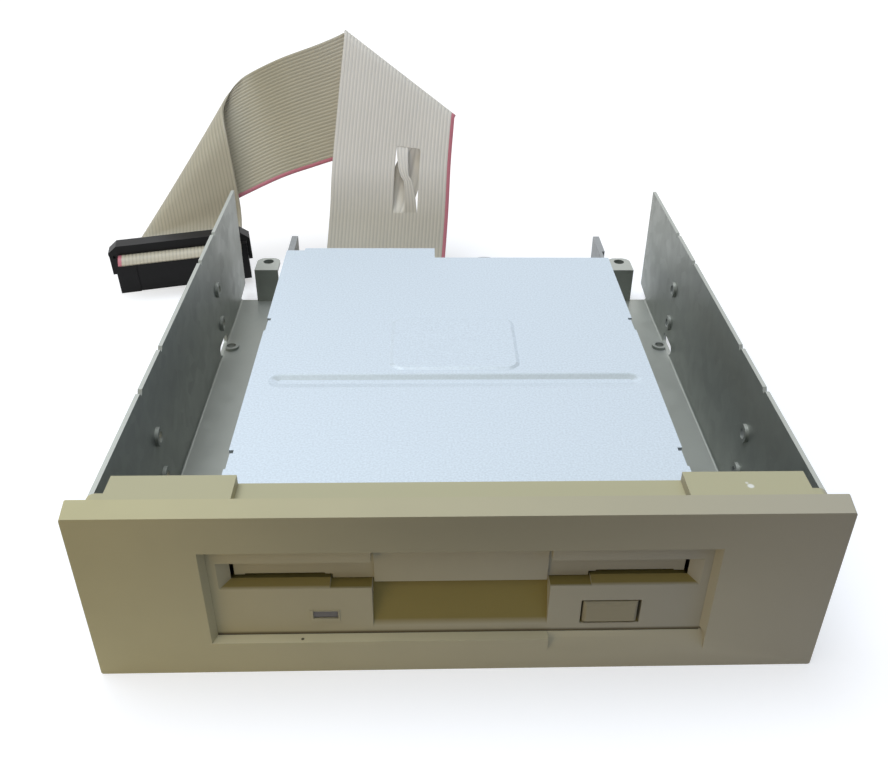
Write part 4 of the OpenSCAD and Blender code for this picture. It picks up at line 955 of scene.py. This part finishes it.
class DRIVE_OT_stage(bpy.types.Operator):
    """Sets the camera, the lights and the pale floor"""
    bl_idname = "drive.stage"
    bl_label = "Stage"

    def execute(self, context):
        settings = context.scene.drive_stage
        context.scene.view_settings.view_transform = "Standard"
        self.camera(context, settings)
        self.floor(context)
        self.sky(context, settings)
        for name, place, width, colour in LAMPS:
            self.lamp(context, name.title(), place, width, getattr(settings, name), colour)
        return {"FINISHED"}

    def camera(self, context, settings):
        """A camera that looks along yaw and pitch, turned by roll."""
        yaw, pitch, roll = settings.yaw, settings.pitch, settings.roll
        ahead = Vector((math.sin(yaw) * math.cos(pitch), math.cos(yaw) * math.cos(pitch), -math.sin(pitch)))
        right = Vector((math.cos(yaw), -math.sin(yaw), 0))
        up = right.cross(ahead)
        side = right * math.cos(roll) + up * math.sin(roll)
        top = up * math.cos(roll) - right * math.sin(roll)
        data = bpy.data.cameras.new("Camera")
        data.sensor_width = 36
        data.lens = settings.focal_px * data.sensor_width / IMAGE_W
        data.shift_x, data.shift_y = settings.shift
        data.clip_start, data.clip_end = 0.01, 20
        camera = bpy.data.objects.new("Camera", data)
        context.scene.collection.objects.link(camera)
        turn = Matrix((side, top, -ahead)).transposed().to_4x4()
        camera.matrix_world = Matrix.Translation(settings.camera_at) @ turn
        context.scene.camera = camera

    def floor(self, context):
        """A wide pale floor that shows white and keeps the object's shadow."""
        bm = bmesh.new()
        bmesh.ops.create_grid(bm, x_segments=1, y_segments=1, size=FLOOR_HALF)
        mesh = bpy.data.meshes.new("Floor")
        bm.to_mesh(mesh)
        bm.free()
        made, tree, shader, place = new_finish("Pale paper floor", (0.5, 0.5, 0.5), roughness=0.9,
                                               specular=0.0)
        off = add(tree, "ShaderNodeVectorMath", {0: place.outputs["Object"]}, operation="LENGTH")
        share = add(tree, "ShaderNodeMapRange",
                    {"Value": off.outputs["Value"], "From Min": PAPER[0], "From Max": PAPER[1],
                     "To Min": PAPER_SHARE[0], "To Max": PAPER_SHARE[1]}, interpolation_type="SMOOTHSTEP")
        tree.links.new(share.outputs["Result"], shader.inputs["Base Color"])
        rest = add(tree, "ShaderNodeMath", {0: FLOOR_SEEN, 1: share.outputs["Result"]},
                   operation="SUBTRACT")
        strength = add(tree, "ShaderNodeMath", {0: self.seen(tree).outputs[0], 1: rest.outputs[0]},
                       operation="MULTIPLY")
        glow = add(tree, "ShaderNodeEmission", {"Color": (1, 1, 1, 1), "Strength": strength.outputs[0]})
        both = add(tree, "ShaderNodeAddShader", {0: shader.outputs["BSDF"], 1: glow.outputs["Emission"]})
        tree.links.new(both.outputs["Shader"], tree.nodes["Material Output"].inputs["Surface"])
        mesh.materials.append(made)
        floor = bpy.data.objects.new("Floor", mesh)
        context.scene.collection.objects.link(floor)

    def seen(self, tree):
        """One where the camera sees a surface, also in metal or through glass."""
        light = add(tree, "ShaderNodeLightPath")
        mirrored = add(tree, "ShaderNodeMath",
                       {0: light.outputs["Is Glossy Ray"], 1: light.outputs["Is Transmission Ray"]},
                       operation="MAXIMUM")
        return add(tree, "ShaderNodeMath", {0: light.outputs["Is Camera Ray"], 1: mirrored.outputs[0]},
                   operation="MAXIMUM")

    def sky(self, context, settings):
        """Even light that is stronger from above, and a white background."""
        world = bpy.data.worlds.new("Studio")
        context.scene.world = world
        world.use_nodes = True
        tree = world.node_tree
        place = add(tree, "ShaderNodeTexCoord")
        split = add(tree, "ShaderNodeSeparateXYZ", {"Vector": place.outputs["Generated"]})
        height = add(tree, "ShaderNodeMapRange", {"Value": split.outputs["Z"]})
        steep = add(tree, "ShaderNodeMath", {0: height.outputs["Result"], 1: SKY_POWER}, operation="POWER")
        light = add(tree, "ShaderNodeMath", {0: steep.outputs[0], 1: settings.sky}, operation="MULTIPLY")
        seen = self.seen(tree)
        strength = add(tree, "ShaderNodeMix", {0: seen.outputs[0], 2: light.outputs[0], 3: 1.0})
        colour = add(tree, "ShaderNodeMix",
                     {0: seen.outputs[0], 6: (*linear(SKY_TINT), 1), 7: (1, 1, 1, 1)}, data_type="RGBA")
        tree.links.new(strength.outputs[0], tree.nodes["Background"].inputs["Strength"])
        tree.links.new(colour.outputs[2], tree.nodes["Background"].inputs["Color"])

    def lamp(self, context, name, place, width, watts, colour):
        """A soft square lamp that faces the object's middle."""
        data = bpy.data.lights.new(name, "AREA")
        data.size = width
        data.energy = watts
        data.color = linear(colour)
        lamp = bpy.data.objects.new(name, data)
        context.scene.collection.objects.link(lamp)
        lamp.location = place
        lamp.rotation_euler = (LAMPS_FACE - Vector(place)).to_track_quat("-Z", "Y").to_euler()


class DRIVE_PT_pieces(bpy.types.Panel):
    """Lists the steps that dress the drive"""
    bl_idname = "DRIVE_PT_pieces"
    bl_label = "Floppy drive"
    bl_space_type = "VIEW_3D"
    bl_region_type = "UI"
    bl_category = "Drive"

    def draw(self, context):
        for step in STEPS:
            self.layout.operator(step.bl_idname)


SETTINGS = {"drive_ribbon": RibbonSettings, "drive_finish": FinishSettings, "drive_stage": StageSettings}
STEPS = (DRIVE_OT_stage, DRIVE_OT_ribbon, DRIVE_OT_adaptor, DRIVE_OT_casing, DRIVE_OT_mechanism,
         DRIVE_OT_electronics)


def register():
    """Makes the settings, the steps and the panel known."""
    for cls in (*SETTINGS.values(), *STEPS, DRIVE_PT_pieces):
        bpy.utils.register_class(cls)
    for name, cls in SETTINGS.items():
        setattr(bpy.types.Scene, name, PointerProperty(type=cls))


def unregister():
    """Takes them away again."""
    for name in SETTINGS:
        delattr(bpy.types.Scene, name)
    for cls in reversed((*SETTINGS.values(), *STEPS, DRIVE_PT_pieces)):
        bpy.utils.unregister_class(cls)


def main():
    """Runs every step in order."""
    register()
    for step in STEPS:
        group, name = step.bl_idname.split(".")
        getattr(getattr(bpy.ops, group), name)()


if __name__ == "__main__":
    main()
